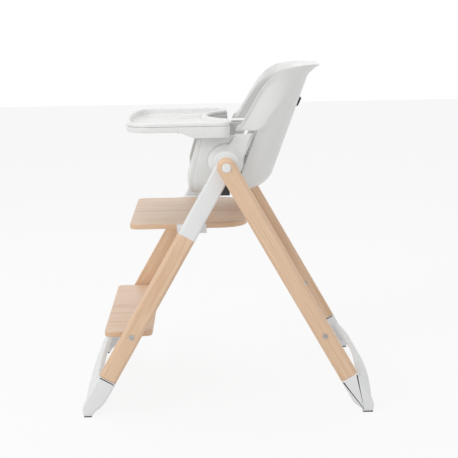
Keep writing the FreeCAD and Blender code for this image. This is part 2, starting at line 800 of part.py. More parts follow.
def back_shell():
    """Back and wings in one moulding, with a lip that rolls outwards round the top."""
    wall = dim("shell_wall").value
    half = dim("shell_half_width").value
    side = side_prism(back_side_outline(), -half - 40, half + 40)
    outer = leaning_prism(0.0)
    inner = leaning_prism(-wall)
    floor_cut = side_prism(
        [(-50, 572), (70, 572), (94, 580), (110, 596), (320, 1120), (-50, 1120)], -half - 60, half + 60)
    shell = outer.common(side).cut(inner.common(floor_cut))
    lip_side = side_prism([(196, 834), (262, 852), (262, 875), (240, 883), (196, 883)], -half - 40, half + 40)
    lip = leaning_prism(dim("lip_proud").value).common(lip_side).cut(leaning_prism(-1.0))
    return shell.fuse(lip).removeSplitter()


keep(free_shape("back_shell", back_shell()), "back_shell")


def side_carrier():
    """The plate that holds the seat on one side, with the round boss that turns on the hub pin."""
    inner = dim("tub_half_width").value + dim("seat_gap").value
    outer = inner + dim("carrier_thickness").value
    radius = dim("boss_radius").value
    y, z = PIVOT_Y.value, PIVOT_Z.value
    plate = side_prism([
        (22, 711), (72, 711), (56, 676), (44, 650), (38, 622), (10, 600), (-22, 610), (-32, 640),
        (-16, 662), (-2, 668), (10, 688),
    ], inner, outer)
    boss = Part.makeCylinder(radius, BOSS_OUTER.value - inner, vec(inner, y, z), vec(1, 0, 0))
    cone = Part.makeCone(radius + 12, radius, 16, vec(inner, y, z), vec(1, 0, 0))
    bore = Part.makeCylinder(
        dim("pin_radius").value + dim("running_clearance").value, BOSS_OUTER.value,
        vec(BOSS_OUTER.value - 31, y, z), vec(1, 0, 0))
    return plate.fuse(boss).fuse(cone).cut(bore).removeSplitter()


both_sides(free_shape("side_carrier_left", side_carrier()), "side_carrier")

# Pads ---------------------------------------------------------------------


def back_pad():
    """The soft back pad: a leaning U that lines the shell from the seat to the head."""
    wall = dim("shell_wall").value + dim("pad_gap").value
    thick = dim("back_pad_thickness").value
    side = side_prism(
        [(60, 640), (115, 640), (240, 872), (182, 864), (150, 852), (112, 820), (96, 796), (88, 760), (84, 716)],
        -200, 200)
    return leaning_prism(-wall).common(side).cut(leaning_prism(-wall - thick)).removeSplitter()


keep(free_shape("back_pad", back_pad()), "back_pad")

seat_floor = dim("tub_floor") + dim("pad_gap")
pad_half = dim("tub_half_width") - dim("tub_wall") - 16.0
seat_pad_block = box(
    "seat_pad_block", (-pad_half, -92.0, seat_floor), (pad_half * 2, 170.0, dim("seat_pad_thickness")))
pad_room = free_shape("seat_pad_room", leaning_prism(-dim("shell_wall").value - 3.0))
seat_pad = doc.addObject("Part::Common", "seat_pad")
seat_pad.Base = seat_pad_block
seat_pad.Tool = pad_room
keep(seat_pad, "seat_pad")

# Tray ---------------------------------------------------------------------


def tray_plan(grow, level):
    """Plan outline of the tray: bowed front, round corners and a cut-out for the child."""
    half = dim("tray_half_width").value + grow
    front = dim("tray_front").value - grow
    back = dim("tray_back").value + grow
    corner = dim("tray_corner").value + grow
    bow = 12.0
    depth = dim("belly_depth").value
    reach = dim("belly_radius").value - grow / 2
    side = front + bow
    bend = corner * (1 - math.sqrt(0.5))
    rear = 16.0 + grow
    tuck = rear * (1 - math.sqrt(0.5))
    p = [
        vec(-half + corner, side, level), vec(0, front, level), vec(half - corner, side, level),
        vec(half - bend, side + bend, level), vec(half, side + corner, level), vec(half, back - rear, level),
        vec(half - tuck, back - tuck, level), vec(half - rear, back, level), vec(reach, back, level),
        vec(0, back - depth, level), vec(-reach, back, level), vec(-half + rear, back, level),
        vec(-half + tuck, back - tuck, level), vec(-half, back - rear, level), vec(-half, side + corner, level),
        vec(-half + bend, side + bend, level),
    ]
    edges = [
        Part.Arc(p[0], p[1], p[2]).toShape(), Part.Arc(p[2], p[3], p[4]).toShape(), Part.makeLine(p[4], p[5]),
        Part.Arc(p[5], p[6], p[7]).toShape(), Part.makeLine(p[7], p[8]), Part.Arc(p[8], p[9], p[10]).toShape(),
        Part.makeLine(p[10], p[11]), Part.Arc(p[11], p[12], p[13]).toShape(), Part.makeLine(p[13], p[14]),
        Part.Arc(p[14], p[15], p[0]).toShape(),
    ]
    return Part.Face(Part.Wire(edges))


def tray_block(grow, low, high):
    return tray_plan(grow, low).extrude(vec(0, 0, high - low))


def tray_base():
    """The tray's lower half: a skirt all round, deeper over the seat's sides, and a web on top."""
    split = dim("tray_split").value
    skirt = dim("tray_skirt_bottom").value
    deep = dim("tray_wing_bottom").value
    wall = dim("tray_skirt_wall").value
    web = dim("tray_floor").value - dim("insert_wall").value - 0.3
    body = tray_block(0.0, skirt, split)
    wings = tray_block(0.0, deep, split)
    wing_zone = side_prism([
        (dim("tray_wing_front").value - 44, skirt), (dim("tray_wing_front").value, deep), (60, deep), (60, split),
        (dim("tray_wing_front").value - 44, split)], -260, 260)
    body = body.fuse(wings.common(wing_zone))
    below = tray_block(-wall, deep - 5, web - wall)
    above = tray_block(-dim("tray_rim").value + 3, web, split + 5)
    body = body.cut(below).cut(above)
    for side in (-1, 1):
        middle = side * (dim("tub_half_width").value - dim("tub_wall").value / 2)
        notch_half = dim("tub_wall").value / 2 + 3
        notch = Part.makeBox(2 * notch_half, 20, web - wall - deep + 6, vec(middle - notch_half, dim("tray_back").value - 12, deep - 5))
        body = body.cut(notch)
    return body.removeSplitter()


def tray_insert():
    """The lift-out top: a basin with a rounded rim that rests on the base's edge."""
    top = dim("tray_top").value
    split = dim("tray_split").value + 0.2
    floor = dim("tray_floor").value
    wall = dim("insert_wall").value
    rim = dim("tray_rim").value
    rim_block = tray_block(-1.0, split, top)
    rim_block = rim_block.makeFillet(6.0, [edge for edge in rim_block.Edges if edge.BoundBox.ZMin > top - 0.01])
    bowl = tray_block(-rim + wall, floor - wall, split + 1)
    room = tray_block(-rim, floor, top + 5)
    return rim_block.fuse(bowl).cut(room).removeSplitter()


keep(free_shape("tray_base", tray_base()), "tray_base")
keep(free_shape("tray_insert", tray_insert()), "tray_insert")

rail_top = dim("tray_floor") - dim("insert_wall") - dim("seat_gap") * 2 - dim("tray_skirt_wall")
rail = box(
    "tray_rail_left",
    (dim("tub_half_width") - dim("tub_wall"), -62.0, dim("tub_top")),
    (dim("tub_wall"), 70.0, rail_top - dim("tub_top")),
)
both_sides(rail, "tray_rail")


def tray_latch():
    """The squeeze paddle under the tray: a hooked grip on a barrel."""
    outline = [
        (-124, 720.6), (-127, 700), (-121, 698), (-116, 708), (-106, 712), (-99, 709), (-93, 700),
        (-89, 690), (-83, 690), (-85, 704), (-90, 714), (-97, 720.6),
    ]
    return side_prism(outline, -38, 38)


keep(free_shape("tray_latch", tray_latch()), "tray_latch")

# Harness -------------------------------------------------------------------


def strap(points, low_x, high_x):
    """A flat strap along a Y, Z path, between two X planes."""
    thick = dim("strap_thickness").value
    upper = [(y, z) for y, z in points]
    lower = []
    for index, (y, z) in enumerate(points):
        before = points[max(index - 1, 0)]
        after = points[min(index + 1, len(points) - 1)]
        run = math.hypot(after[0] - before[0], after[1] - before[1])
        lower.append((y + (after[1] - before[1]) / run * thick, z - (after[0] - before[0]) / run * thick))
    return side_prism(upper + lower[::-1], low_x, high_x)


PAD_FRONT = dim("shell_wall").value + dim("back_pad_thickness").value + 2 * dim("pad_gap").value


def pad_face(z, lift):
    """Y of the back pad's front face at a height, with a lift towards the child."""
    return BACK_FOOT[0] + (z - BACK_FOOT[1]) * math.tan(LEAN) - (PAD_FRONT + lift)


width = dim("strap_width").value
shoulder = strap([(pad_face(770, 0), 770), (pad_face(700, 0), 700), (pad_face(662, 1), 662), (60, 652)], 34, 34 + width)
both_sides(free_shape("shoulder_strap_left", shoulder), "shoulder_strap")

seat_top = float(seat_floor) + dim("seat_pad_thickness").value
crotch = strap([(-40, seat_top + 2.5), (0, seat_top + 3), (28, seat_top + 8), (48, seat_top + 11.6)], -width / 2, width / 2)
keep(free_shape("crotch_strap", crotch), "crotch_strap")


def waist_strap():
    """From the seat's side to the buckle, standing on edge."""
    thick = dim("strap_thickness").value
    low = 634.0
    points = [(137, 34), (100, 46), (52, 49), (23.3, 49)]
    far = [(x, y + thick) for x, y in points]
    corners = [vec(x, y, low) for x, y in points + far[::-1]]
    return Part.Face(Part.makePolygon(corners + corners[:1])).extrude(vec(0, 0, width * 0.8))


both_sides(free_shape("waist_strap_left", waist_strap()), "waist_strap")

buckle_half = dim("buckle_width").value / 2
buckle = Part.makeBox(2 * buckle_half, 14, 40, vec(-buckle_half, 43, 628))
buckle = buckle.makeFillet(4.0, [edge for edge in buckle.Edges if edge.Length < 30 and abs(edge.tangentAt(0).y) > 0.9])
button_room = Part.makeCylinder(9.3, 9.0, vec(0, 42, 648), vec(0, 1, 0))
keep(free_shape("buckle", buckle.cut(button_room)), "buckle")
keep(free_shape("buckle_button", Part.makeCylinder(9.0, 5.0, vec(0, 41, 648), vec(0, 1, 0))), "buckle_button")

# Rear clips --------------------------------------------------------------------


def back_face(z):
    """Y of the back shell's rear face at a height."""
    return BACK_FOOT[0] + (z - BACK_FOOT[1]) * math.tan(LEAN)


def rear_plate(low, high, half, proud):
    """A plate that lies against the shell's leaning rear face."""
    outline = [
        (back_face(low) + 0.2, low), (back_face(low) + proud, low + 3), (back_face(high) + proud, high - 3),
        (back_face(high) + 0.2, high),
    ]
    return side_prism(outline, -half, half)


keep(free_shape("harness_anchor", rear_plate(764, 790, 34, 9)), "harness_anchor")


def recline_grip_block():
    """A bar in the shell's lower rear corner, a little clear of its notch, that is pulled upwards."""
    run = math.hypot(NOTCH_HIGH[0] - NOTCH_LOW[0], NOTCH_HIGH[1] - NOTCH_LOW[1])
    along = ((NOTCH_HIGH[0] - NOTCH_LOW[0]) / run, (NOTCH_HIGH[1] - NOTCH_LOW[1]) / run)
    outline = [(1.5, 0.8), (35.0, 0.8), (35.0, 7.5), (31.0, 11.5), (8.0, 11.5), (1.5, 7.5)]
    points = [
        (NOTCH_LOW[0] + along[0] * s + along[1] * t, NOTCH_LOW[1] + along[1] * s - along[0] * t)
        for s, t in outline
    ]
    return side_prism(points, -30, 30)


recline_grip = recline_grip_block()
keep(free_shape("recline_grip", recline_grip), "recline_grip")

# Checks and export ---------------------------------------------------------------

doc.recompute()
for item in doc.Objects:
    if {"Invalid", "Error"} & set(item.State):
        raise RuntimeError(f"{item.Name} ({item.Label}) failed: {item.State}")

os.makedirs("parts", exist_ok=True)
for item in subparts:
    shape = item.Shape
    if shape.isNull() or not shape.isValid() or not shape.Solids:
        raise RuntimeError(f"{item.Label} has no valid solid")
    shape.exportStep(f"parts/{item.Label}.step")
print(f"{len(subparts)} sub-parts written")
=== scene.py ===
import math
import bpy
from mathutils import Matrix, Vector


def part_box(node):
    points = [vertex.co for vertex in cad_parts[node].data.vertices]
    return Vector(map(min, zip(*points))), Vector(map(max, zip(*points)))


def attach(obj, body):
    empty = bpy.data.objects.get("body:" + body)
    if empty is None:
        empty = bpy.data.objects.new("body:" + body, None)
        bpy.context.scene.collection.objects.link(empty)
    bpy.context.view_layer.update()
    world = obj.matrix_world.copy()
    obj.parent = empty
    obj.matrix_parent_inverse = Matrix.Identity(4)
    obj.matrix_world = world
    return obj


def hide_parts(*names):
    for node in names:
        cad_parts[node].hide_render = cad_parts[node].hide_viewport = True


bl_info = {
    "name": "High Chair Maker",
    "version": (1, 0, 0),
    "blender": (4, 5, 0),
    "location": "View3D > Sidebar > High Chair",
    "description": "Builds the mouldings, boards, pads, straps, finishes and stage of a wooden high chair",
    "category": "Add Mesh",
}

import bmesh
import bpy
import numpy as np
from mathutils import Matrix, Vector

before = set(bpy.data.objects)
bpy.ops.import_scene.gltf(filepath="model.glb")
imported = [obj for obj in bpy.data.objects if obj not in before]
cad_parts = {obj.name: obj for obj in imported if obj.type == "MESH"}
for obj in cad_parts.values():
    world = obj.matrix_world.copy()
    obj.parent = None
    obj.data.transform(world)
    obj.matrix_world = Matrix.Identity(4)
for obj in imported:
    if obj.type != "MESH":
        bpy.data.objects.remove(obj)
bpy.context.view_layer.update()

MM = 0.001
SIDES = (("left", 1.0), ("right", -1.0))
HALF_LEG = 23.0
LEG_END = 625.0
ARM_STRAIGHT = 160.0
ARM_END = 205.0
SLOPE = {"front": math.radians(60.0), "rear": math.radians(60.8)}
LEAN = math.radians(20.5)
BACK_FOOT = (127.0, 602.0)
SHELL_HALF, SHELL_CORNER, SHELL_WALL = 152.0, 92.0, 12.0
FILLET = 44.0


def span(node):
    """Lowest and highest corner of a CAD node, in millimetres, as two arrays."""
    low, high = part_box(node)
    return np.array(low) / MM, np.array(high) / MM


PIVOT = sum(span("pivot_cap_left")) / 2


# Sizes and colours a user would change ------------------------------------


def length(name, text, default, high=0.1):
    return bpy.props.FloatProperty(
        name=name, description=text, default=default * MM, min=0.0, max=high, unit="LENGTH")


def colour(name, text, value):
    return bpy.props.FloatVectorProperty(
        name=name, description=text, default=value, size=3, min=0.0, max=1.0, subtype="COLOR_GAMMA")


class ChairSizes(bpy.types.PropertyGroup):
    """Roundings and thicknesses of the visible pieces."""

    foot_edge: length("Foot edge", "Rounding along the feet's edges", 4.5)
    arm_edge: length("Arm edge", "Rounding along the upper arms' edges", 6.0)
    board_edge: length("Board edge", "Rounding along the plywood boards' edges", 2.2)
    rim_edge: length("Rim edge", "Rounding of the seat's open edges", 5.5)
    back_lip: length("Back lip", "How far the lip rolls out behind the back's top", 23.0)
    wing_flare: length("Wing flare", "How far the wings stand out over the seat's sides", 13.0)
    carrier_edge: length("Carrier edge", "Rounding along the side carriers' edges", 4.0)
    pad_swell: length("Pad swell", "Farthest that a pad's cloth swells", 6.0)
    seam_depth: length("Seam depth", "Depth of the seams sewn into the pads", 3.0)


class ChairColours(bpy.types.PropertyGroup):
    """Colours of the finishes, as they are seen."""

    beech_pale: colour("Beech, pale", "The wood between the growth rings", (0.925, 0.800, 0.680))
    beech_dark: colour("Beech, dark", "The growth rings", (0.870, 0.715, 0.575))
    veneer_pale: colour("Veneer, pale", "The boards' top veneer", (0.895, 0.790, 0.690))
    veneer_dark: colour("Veneer, dark", "The boards' veneer rings", (0.835, 0.705, 0.590))
    white_plastic: colour("White plastic", "Seat and tray mouldings", (0.925, 0.928, 0.922))
    leg_plastic: colour("Leg plastic", "Arms, feet and floor bars", (0.925, 0.930, 0.930))
    pad_cloth: colour("Pad cloth", "The pads' woven cover", (0.830, 0.832, 0.820))
    webbing: colour("Webbing", "The harness straps", (0.690, 0.695, 0.690))
    dark_plastic: colour("Dark plastic", "Buckle, grips and stops", (0.150, 0.155, 0.160))


def sizes():
    return bpy.context.scene.chair_sizes


def linear(value):
    """A seen colour as the linear colour that a shader takes."""
    c = np.array(value, float)
    return (*np.where(c <= 0.04045, c / 12.92, ((c + 0.055) / 1.055) ** 2.4), 1.0)


# Outlines: arrays of points in a plane ---------------------------------------


def leg_point(kind, along, across):
    """Y, Z of a point of a leg's side view: along it from the pivot, across it to the rear."""
    sign = -1.0 if kind == "front" else 1.0
    slope = SLOPE[kind]
    along, across = np.asarray(along, float), np.asarray(across, float)
    y = PIVOT[1] + sign * math.cos(slope) * along + math.sin(slope) * across
    z = PIVOT[2] - math.sin(slope) * along + sign * math.cos(slope) * across
    return np.stack([y, z], -1)


def evenly(points, step):
    """A closed outline again, with its points an even step apart; each lies on a straight run."""
    loop = np.vstack([points, points[:1]])
    run = np.concatenate([[0.0], np.cumsum(np.hypot(*np.diff(loop, axis=0).T))])
    at = np.linspace(0.0, run[-1], max(8, int(run[-1] / step)), endpoint=False)
    return np.stack([np.interp(at, run, loop[:, k]) for k in (0, 1)], -1)


def counter_clockwise(points):
    """The outline turned so that its enclosed area, half the sum of cross products, is positive."""
    x, y = points.T
    area = np.sum(x * np.roll(y, -1) - y * np.roll(x, -1))
    return points if area > 0 else points[::-1]


def soften(points, step, sigma):
    """An even outline blurred along its length: each coordinate times a Gaussian in frequency."""
    points = evenly(counter_clockwise(np.array(points, float)), step)
    freq = np.fft.rfftfreq(len(points), d=step)
    weight = np.exp(-2.0 * (math.pi * freq * sigma) ** 2)[:, None]
    return np.fft.irfft(np.fft.rfft(points, axis=0) * weight, n=len(points), axis=0)


def rounded(corners, radii, count=9):
    """Corners rounded by curves t -> (1-t)^2 A + 2t(1-t) P + t^2 B between points on their two sides."""
    p = np.array(corners, float)
    before, after = np.roll(p, 1, 0) - p, np.roll(p, -1, 0) - p
    cut = np.minimum(np.array(radii, float), 0.48 * np.minimum(
        np.hypot(*before.T), np.hypot(*after.T)))[:, None]
    a = p + before / np.hypot(*before.T)[:, None] * cut
    b = p + after / np.hypot(*after.T)[:, None] * cut
    t = np.linspace(0.0, 1.0, count)[None, :, None]
    curve = (1 - t) ** 2 * a[:, None] + 2 * t * (1 - t) * p[:, None] + t ** 2 * b[:, None]
    return counter_clockwise(curve.reshape(-1, 2))


def outward(points):
    """Unit normals of a counter-clockwise outline: its central difference turned right."""
    run = np.roll(points, -1, 0) - np.roll(points, 1, 0)
    normal = np.stack([run[:, 1], -run[:, 0]], -1)
    return normal / np.maximum(np.hypot(*normal.T), 1e-9)[:, None]


def ease(x):
    """0 below 0, 1 above 1, and 3x^2 - 2x^3 between."""
    x = np.clip(x, 0.0, 1.0)
    return x * x * (3.0 - 2.0 * x)


# Surfaces: grids of points and the faces between them ---------------------------


def grid_faces(rows, columns, wrap_rows=False, wrap_columns=False):
    """One quad for each cell of a grid of rows by columns of points."""
    index = np.arange(rows * columns).reshape(rows, columns)
    if wrap_rows:
        index = np.vstack([index, index[:1]])
    if wrap_columns:
        index = np.hstack([index, index[:, :1]])
    cells = [index[:-1, :-1], index[1:, :-1], index[1:, 1:], index[:-1, 1:]]
    return np.stack(cells, -1).reshape(-1, 4)


def slab(outline, low, high, edge, place):
    """An outline carried from one level to another, drawn in along quarter circles at both ends.

    place turns (a, b, level) arrays into X, Y, Z. Returns points and faces with flat caps.
    """
    turn = np.linspace(0.0, math.pi / 2, 6)
    inset = edge * (1.0 - np.sin(turn))
    rise = edge * (1.0 - np.cos(turn))
    inset = np.concatenate([inset, inset[::-1]])
    level = np.concatenate([low + rise, high - rise[::-1]])
    rings = outline[None] - outward(outline)[None] * inset[:, None, None]
    levels = np.broadcast_to(level[:, None], rings.shape[:2])
    points = place(rings[..., 0], rings[..., 1], levels)
    rows, columns = rings.shape[:2]
    faces = grid_faces(rows, columns, wrap_columns=True).tolist()
    faces.append(list(range(columns))[::-1])
    faces.append(list(range((rows - 1) * columns, rows * columns)))
    return points.reshape(-1, 3), faces


def on_side(a, b, level):
    """An outline of Y, Z with the level along X."""
    return np.stack([level, a, b], -1)


def on_plan(a, b, level):
    """An outline of X, Y with the level along Z."""
    return np.stack([a, b, level], -1)


def lathe(profile, centre, count=48, axis="x"):
    """Pairs (radius, place on the axis) turned about an axis: radius times cos and sin of the angle."""
    angle = np.linspace(0.0, 2 * math.pi, count, endpoint=False)
    radius, place = (np.array(profile, float)[:, k][:, None] for k in (0, 1))
    a, b = radius * np.cos(angle), radius * np.sin(angle)
    c = np.broadcast_to(place, a.shape)
    order = {"x": (c, a, b), "y": (a, c, b), "z": (a, b, c)}[axis]
    points = np.stack(order, -1) + np.array(centre, float)
    return points.reshape(-1, 3), grid_faces(len(radius), count, wrap_columns=True).tolist()


def closed_shell(outer, inner, faces, edge):
    """A wall between two sheets with the same faces, its free edges rounded.

    Round each free edge the strip leaves the outer sheet by a quarter circle, crosses
    flat, and meets the inner sheet by another, in the direction tangent x normal.
    """
    faces = np.asarray(faces)
    count = len(outer)
    sides = np.concatenate([faces[:, [k, (k + 1) % 4]] for k in range(4)])
    sides = sides[np.any(np.abs(outer[sides[:, 0]] - outer[sides[:, 1]]) > 1e-6, axis=1)]
    forward = sides[:, 0] * count + sides[:, 1]
    backward = sides[:, 1] * count + sides[:, 0]
    free = sides[~np.isin(forward, backward)]
    through = inner - outer
    thick = np.linalg.norm(through, axis=1, keepdims=True)
    through = through / np.maximum(thick, 1e-9)
    tangent = np.zeros_like(outer)
    step = outer[free[:, 1]] - outer[free[:, 0]]
    step /= np.maximum(np.linalg.norm(step, axis=1, keepdims=True), 1e-9)
    np.add.at(tangent, free[:, 0], step)
    np.add.at(tangent, free[:, 1], step)
    away = np.cross(tangent, -through)
    away /= np.maximum(np.linalg.norm(away, axis=1, keepdims=True), 1e-9)
    radius = np.minimum(edge, thick / 2)
    turn = np.linspace(0.0, math.pi / 2, 5)
    rings = [outer + through * radius * (1 - math.cos(t)) + away * radius * math.sin(t) for t in turn]
    rings += [inner - through * radius * (1 - math.cos(t)) + away * radius * math.sin(t) for t in turn[::-1]]
    points = np.concatenate(rings)
    last = (len(rings) - 1) * count
    made = faces.tolist() + (faces[:, ::-1] + last).tolist()
    for ring in range(len(rings) - 1):
        low, high = ring * count, (ring + 1) * count
        strip = np.stack([free[:, 1] + low, free[:, 0] + low, free[:, 0] + high, free[:, 1] + high], -1)
        made += strip.tolist()
    return points, made


def mirrored(points):
    return points * np.array([-1.0, 1.0, 1.0])


# Pieces -------------------------------------------------------------------


def piece(name, points, faces, body, stands_for, finish, slot, uv=None, angle=40.0):
    """A mesh from millimetre points, merged, turned outwards, shaded smooth and put on its body."""
    mesh = bpy.data.meshes.new(name)
    mesh.from_pydata((np.asarray(points) * MM).tolist(), [], [list(map(int, f)) for f in faces])
    if uv is not None:
        corner = np.zeros(len(mesh.loops), np.int32)
        mesh.loops.foreach_get("vertex_index", corner)
        mesh.uv_layers.new(name="Weave").data.foreach_set("uv", np.asarray(uv, np.float32)[corner].ravel())
    work = bmesh.new()
    work.from_mesh(mesh)
    bmesh.ops.remove_doubles(work, verts=work.verts, dist=2e-6)
    bmesh.ops.dissolve_degenerate(work, edges=work.edges, dist=1e-6)
    loose = [v for v in work.verts if not v.link_faces]
    bmesh.ops.delete(work, geom=loose, context="VERTS")
    bmesh.ops.recalc_face_normals(work, faces=work.faces)
    work.to_mesh(mesh)
    work.free()
    mesh.shade_smooth()
    mesh.set_sharp_from_angle(angle=math.radians(angle))
    mesh.materials.append(finish)
    made = bpy.data.objects.new(name, mesh)
    bpy.context.scene.collection.objects.link(made)
    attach(made, body)
    if stands_for:
        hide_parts(*stands_for)
    return made


def joined(*parts):
    """Several (points, faces) as one."""
    points, faces, start = [], [], 0
    for some, fs in parts:
        points.append(some)
        faces += [[int(i) + start for i in f] for f in fs]
        start += len(some)
    return np.concatenate(points), faces


# Finishes -------------------------------------------------------------------


class Nodes:
    """A material's node tree with short calls to add and join nodes."""

    def __init__(self, name):
        self.material = bpy.data.materials.new(name)
        self.material.use_nodes = True
        self.tree = self.material.node_tree
        self.shader = self.tree.nodes["Principled BSDF"]

    def add(self, kind, settings=None, **inputs):
        node = self.tree.nodes.new(f"ShaderNode{kind}")
        for key, value in (settings or {}).items():
            setattr(node, key, value)
        for key, value in inputs.items():
            self.put(node, key.replace("_", " "), value)
        return node

    def put(self, node, socket, value):
        target = node.inputs[int(socket[1:])] if socket[0] == "#" else node.inputs[socket]
        if isinstance(value, bpy.types.NodeSocket):
            self.tree.links.new(value, target)
        else:
            target.default_value = value

    def math(self, operation, a, b=0.0):
        node = self.tree.nodes.new("ShaderNodeMath")
        node.operation = operation
        self.put(node, "#0", a)
        self.put(node, "#1", b)
        return node.outputs[0]

    def place(self, turn=(0, 0, 0), scale=(1, 1, 1), source="Object"):
        """Coordinates turned first and stretched afterwards."""
        coord = self.add("TexCoord").outputs[source]
        turned = self.add("Mapping", Vector=coord, Rotation=turn).outputs[0]
        return self.add("Mapping", Vector=turned, Scale=scale).outputs[0]

    def noise(self, where, scale=1.0, detail=2.0, roughness=0.5, distortion=0.0):
        node = self.add("TexNoise", Vector=where, Scale=scale, Detail=detail,
                        Roughness=roughness, Distortion=distortion)
        return node.outputs["Fac"]

    def ramp(self, value, *stops):
        node = self.add("ValToRGB", Fac=value)
        elements = node.color_ramp.elements
        while len(elements) < len(stops):
            elements.new(0.5)
        for element, (place, tone) in zip(elements, stops):
            element.position = place
            element.color = tone if isinstance(tone, tuple) else (tone, tone, tone, 1.0)
        return node.outputs["Color"]

    def mix(self, factor, a, b, blend="MIX"):
        node = self.tree.nodes.new("ShaderNodeMix")
        node.data_type, node.blend_type = "RGBA", blend
        self.put(node, "#0", factor)
        self.put(node, "#6", a)
        self.put(node, "#7", b)
        return node.outputs[2]

    def relief(self, height, strength, distance):
        node = self.add("Bump", Height=height, Strength=strength, Distance=distance)
        self.put(self.shader, "Normal", node.outputs[0])


def shade(colour_value, factor):
    return tuple(c * factor for c in colour_value[:3]) + (1.0,)


def beech(name, turn):
    """Beech along one direction: rings stretched with the grain, fine streaks, and short flecks."""
    tones = bpy.context.scene.chair_colours
    pale, dark = linear(tones.beech_pale), linear(tones.beech_dark)
    n = Nodes(name)
    rings = n.noise(n.place(turn, (46, 1.5, 46)), 1.0, 3.0, 0.55, 0.6)
    streaks = n.noise(n.place(turn, (420, 7, 420)), 1.0, 4.0, 0.6)
    flecks = n.noise(n.place(turn, (1500, 210, 1500)), 1.0, 1.0, 0.4)
    tone = n.ramp(rings, (0.30, dark), (0.48, pale), (0.60, shade(pale, 1.02)), (0.78, dark))
    tone = n.mix(n.ramp(streaks, (0.35, 0.55), (0.65, 0.0)), tone, shade(dark, 0.92))
    tone = n.mix(n.ramp(flecks, (0.66, 0.0), (0.72, 0.42)), tone, shade(dark, 0.66))
    n.put(n.shader, "Base Color", tone)
    n.put(n.shader, "Roughness", n.ramp(streaks, (0.3, 0.50), (0.7, 0.40)))
    n.put(n.shader, "Coat Weight", 0.12)
    n.put(n.shader, "Coat Roughness", 0.35)
    n.relief(n.math("ADD", streaks, n.math("MULTIPLY", flecks, 0.5)), 0.12, 0.0004)
    return n.material


def plywood(name):
    """Veneer on the flat faces; on the edges thin plies by height, alternately pale and dark."""
    tones = bpy.context.scene.chair_colours
    pale, dark = linear(tones.veneer_pale), linear(tones.veneer_dark)
    edge_pale, edge_dark = linear(tones.beech_pale), linear(tones.beech_dark)
    n = Nodes(name)
    wander = n.noise(n.place(scale=(3.0, 0.8, 3.0)), 1.0, 2.0)
    rings = n.noise(n.place(scale=(34, 2.0, 34)), 1.0, 3.0, 0.55, 1.4)
    streaks = n.noise(n.place(scale=(380, 8, 380)), 1.0, 4.0, 0.6)
    flecks = n.noise(n.place(scale=(1300, 190, 1300)), 1.0, 1.0, 0.4)
    face = n.ramp(rings, (0.32, dark), (0.50, pale), (0.66, shade(pale, 1.03)), (0.80, dark))
    face = n.mix(n.ramp(streaks, (0.35, 0.45), (0.65, 0.0)), face, shade(dark, 0.94))
    face = n.mix(n.ramp(flecks, (0.66, 0.0), (0.72, 0.35)), face, shade(dark, 0.70))
    height = n.add("SeparateXYZ", Vector=n.add("TexCoord").outputs["Object"]).outputs["Z"]
    ply = n.math("FRACT", n.math("ADD", n.math("MULTIPLY", height, 360.0),
                                 n.math("MULTIPLY", wander, 0.18)))
    plies = n.ramp(ply, (0.42, edge_pale), (0.47, shade(edge_dark, 0.62)), (0.53, shade(edge_dark, 0.62)),
                   (0.58, shade(edge_dark, 0.95)))
    up = n.add("SeparateXYZ", Vector=n.add("NewGeometry").outputs["Normal"]).outputs["Z"]
    flat = n.ramp(n.math("ABSOLUTE", up), (0.55, 0.0), (0.75, 1.0))
    n.put(n.shader, "Base Color", n.mix(flat, plies, face))
    n.put(n.shader, "Roughness", n.ramp(streaks, (0.3, 0.46), (0.7, 0.36)))
    n.put(n.shader, "Coat Weight", 0.15)
    n.put(n.shader, "Coat Roughness", 0.3)
    n.relief(streaks, 0.10, 0.0004)
    return n.material


def moulded(name, tone, rough, grain=0.05, drift=0.985):
    """Injection-moulded plastic: a fine spark-eroded grain and a slow drift of tone and gloss."""
    tone = linear(tone)
    n = Nodes(name)
    slow = n.noise(n.place(), 7.0, 2.0)
    fine = n.noise(n.place(), 1500.0, 2.0, 0.6)
    n.put(n.shader, "Base Color", n.mix(n.ramp(slow, (0.35, 0.0), (0.65, 1.0)), tone, shade(tone, drift)))
    n.put(n.shader, "Roughness", n.ramp(slow, (0.3, rough - 0.03), (0.7, rough + 0.05)))
    n.relief(fine, grain, 0.0002)
    return n.material


def cloth(name):
    """A plain weave: two crossed sets of ridges on the piece's own UV map, with a melange of threads."""
    tone = linear(bpy.context.scene.chair_colours.pad_cloth)
    n = Nodes(name)
    uv = n.add("SeparateXYZ", Vector=n.add("TexCoord").outputs["UV"])
    waves = [n.math("SINE", n.math("MULTIPLY", uv.outputs[axis], 5200.0)) for axis in ("X", "Y")]
    weave = n.math("MULTIPLY", *waves)
    melange = n.noise(n.place(scale=(900, 900, 900)), 1.0, 2.0)
    slow = n.noise(n.place(), 9.0, 3.0)
    body = n.mix(n.ramp(melange, (0.35, 0.0), (0.7, 0.45)), tone, shade(tone, 0.80))
    body = n.mix(n.ramp(slow, (0.35, 0.0), (0.75, 0.25)), body, shade(tone, 0.90))
    n.put(n.shader, "Base Color", body)
    n.put(n.shader, "Roughness", 0.85)
    n.put(n.shader, "Sheen Weight", 0.25)
    n.put(n.shader, "Sheen Roughness", 0.45)
    n.relief(n.math("ADD", weave, n.math("MULTIPLY", melange, 1.5)), 0.25, 0.0004)
    return n.material


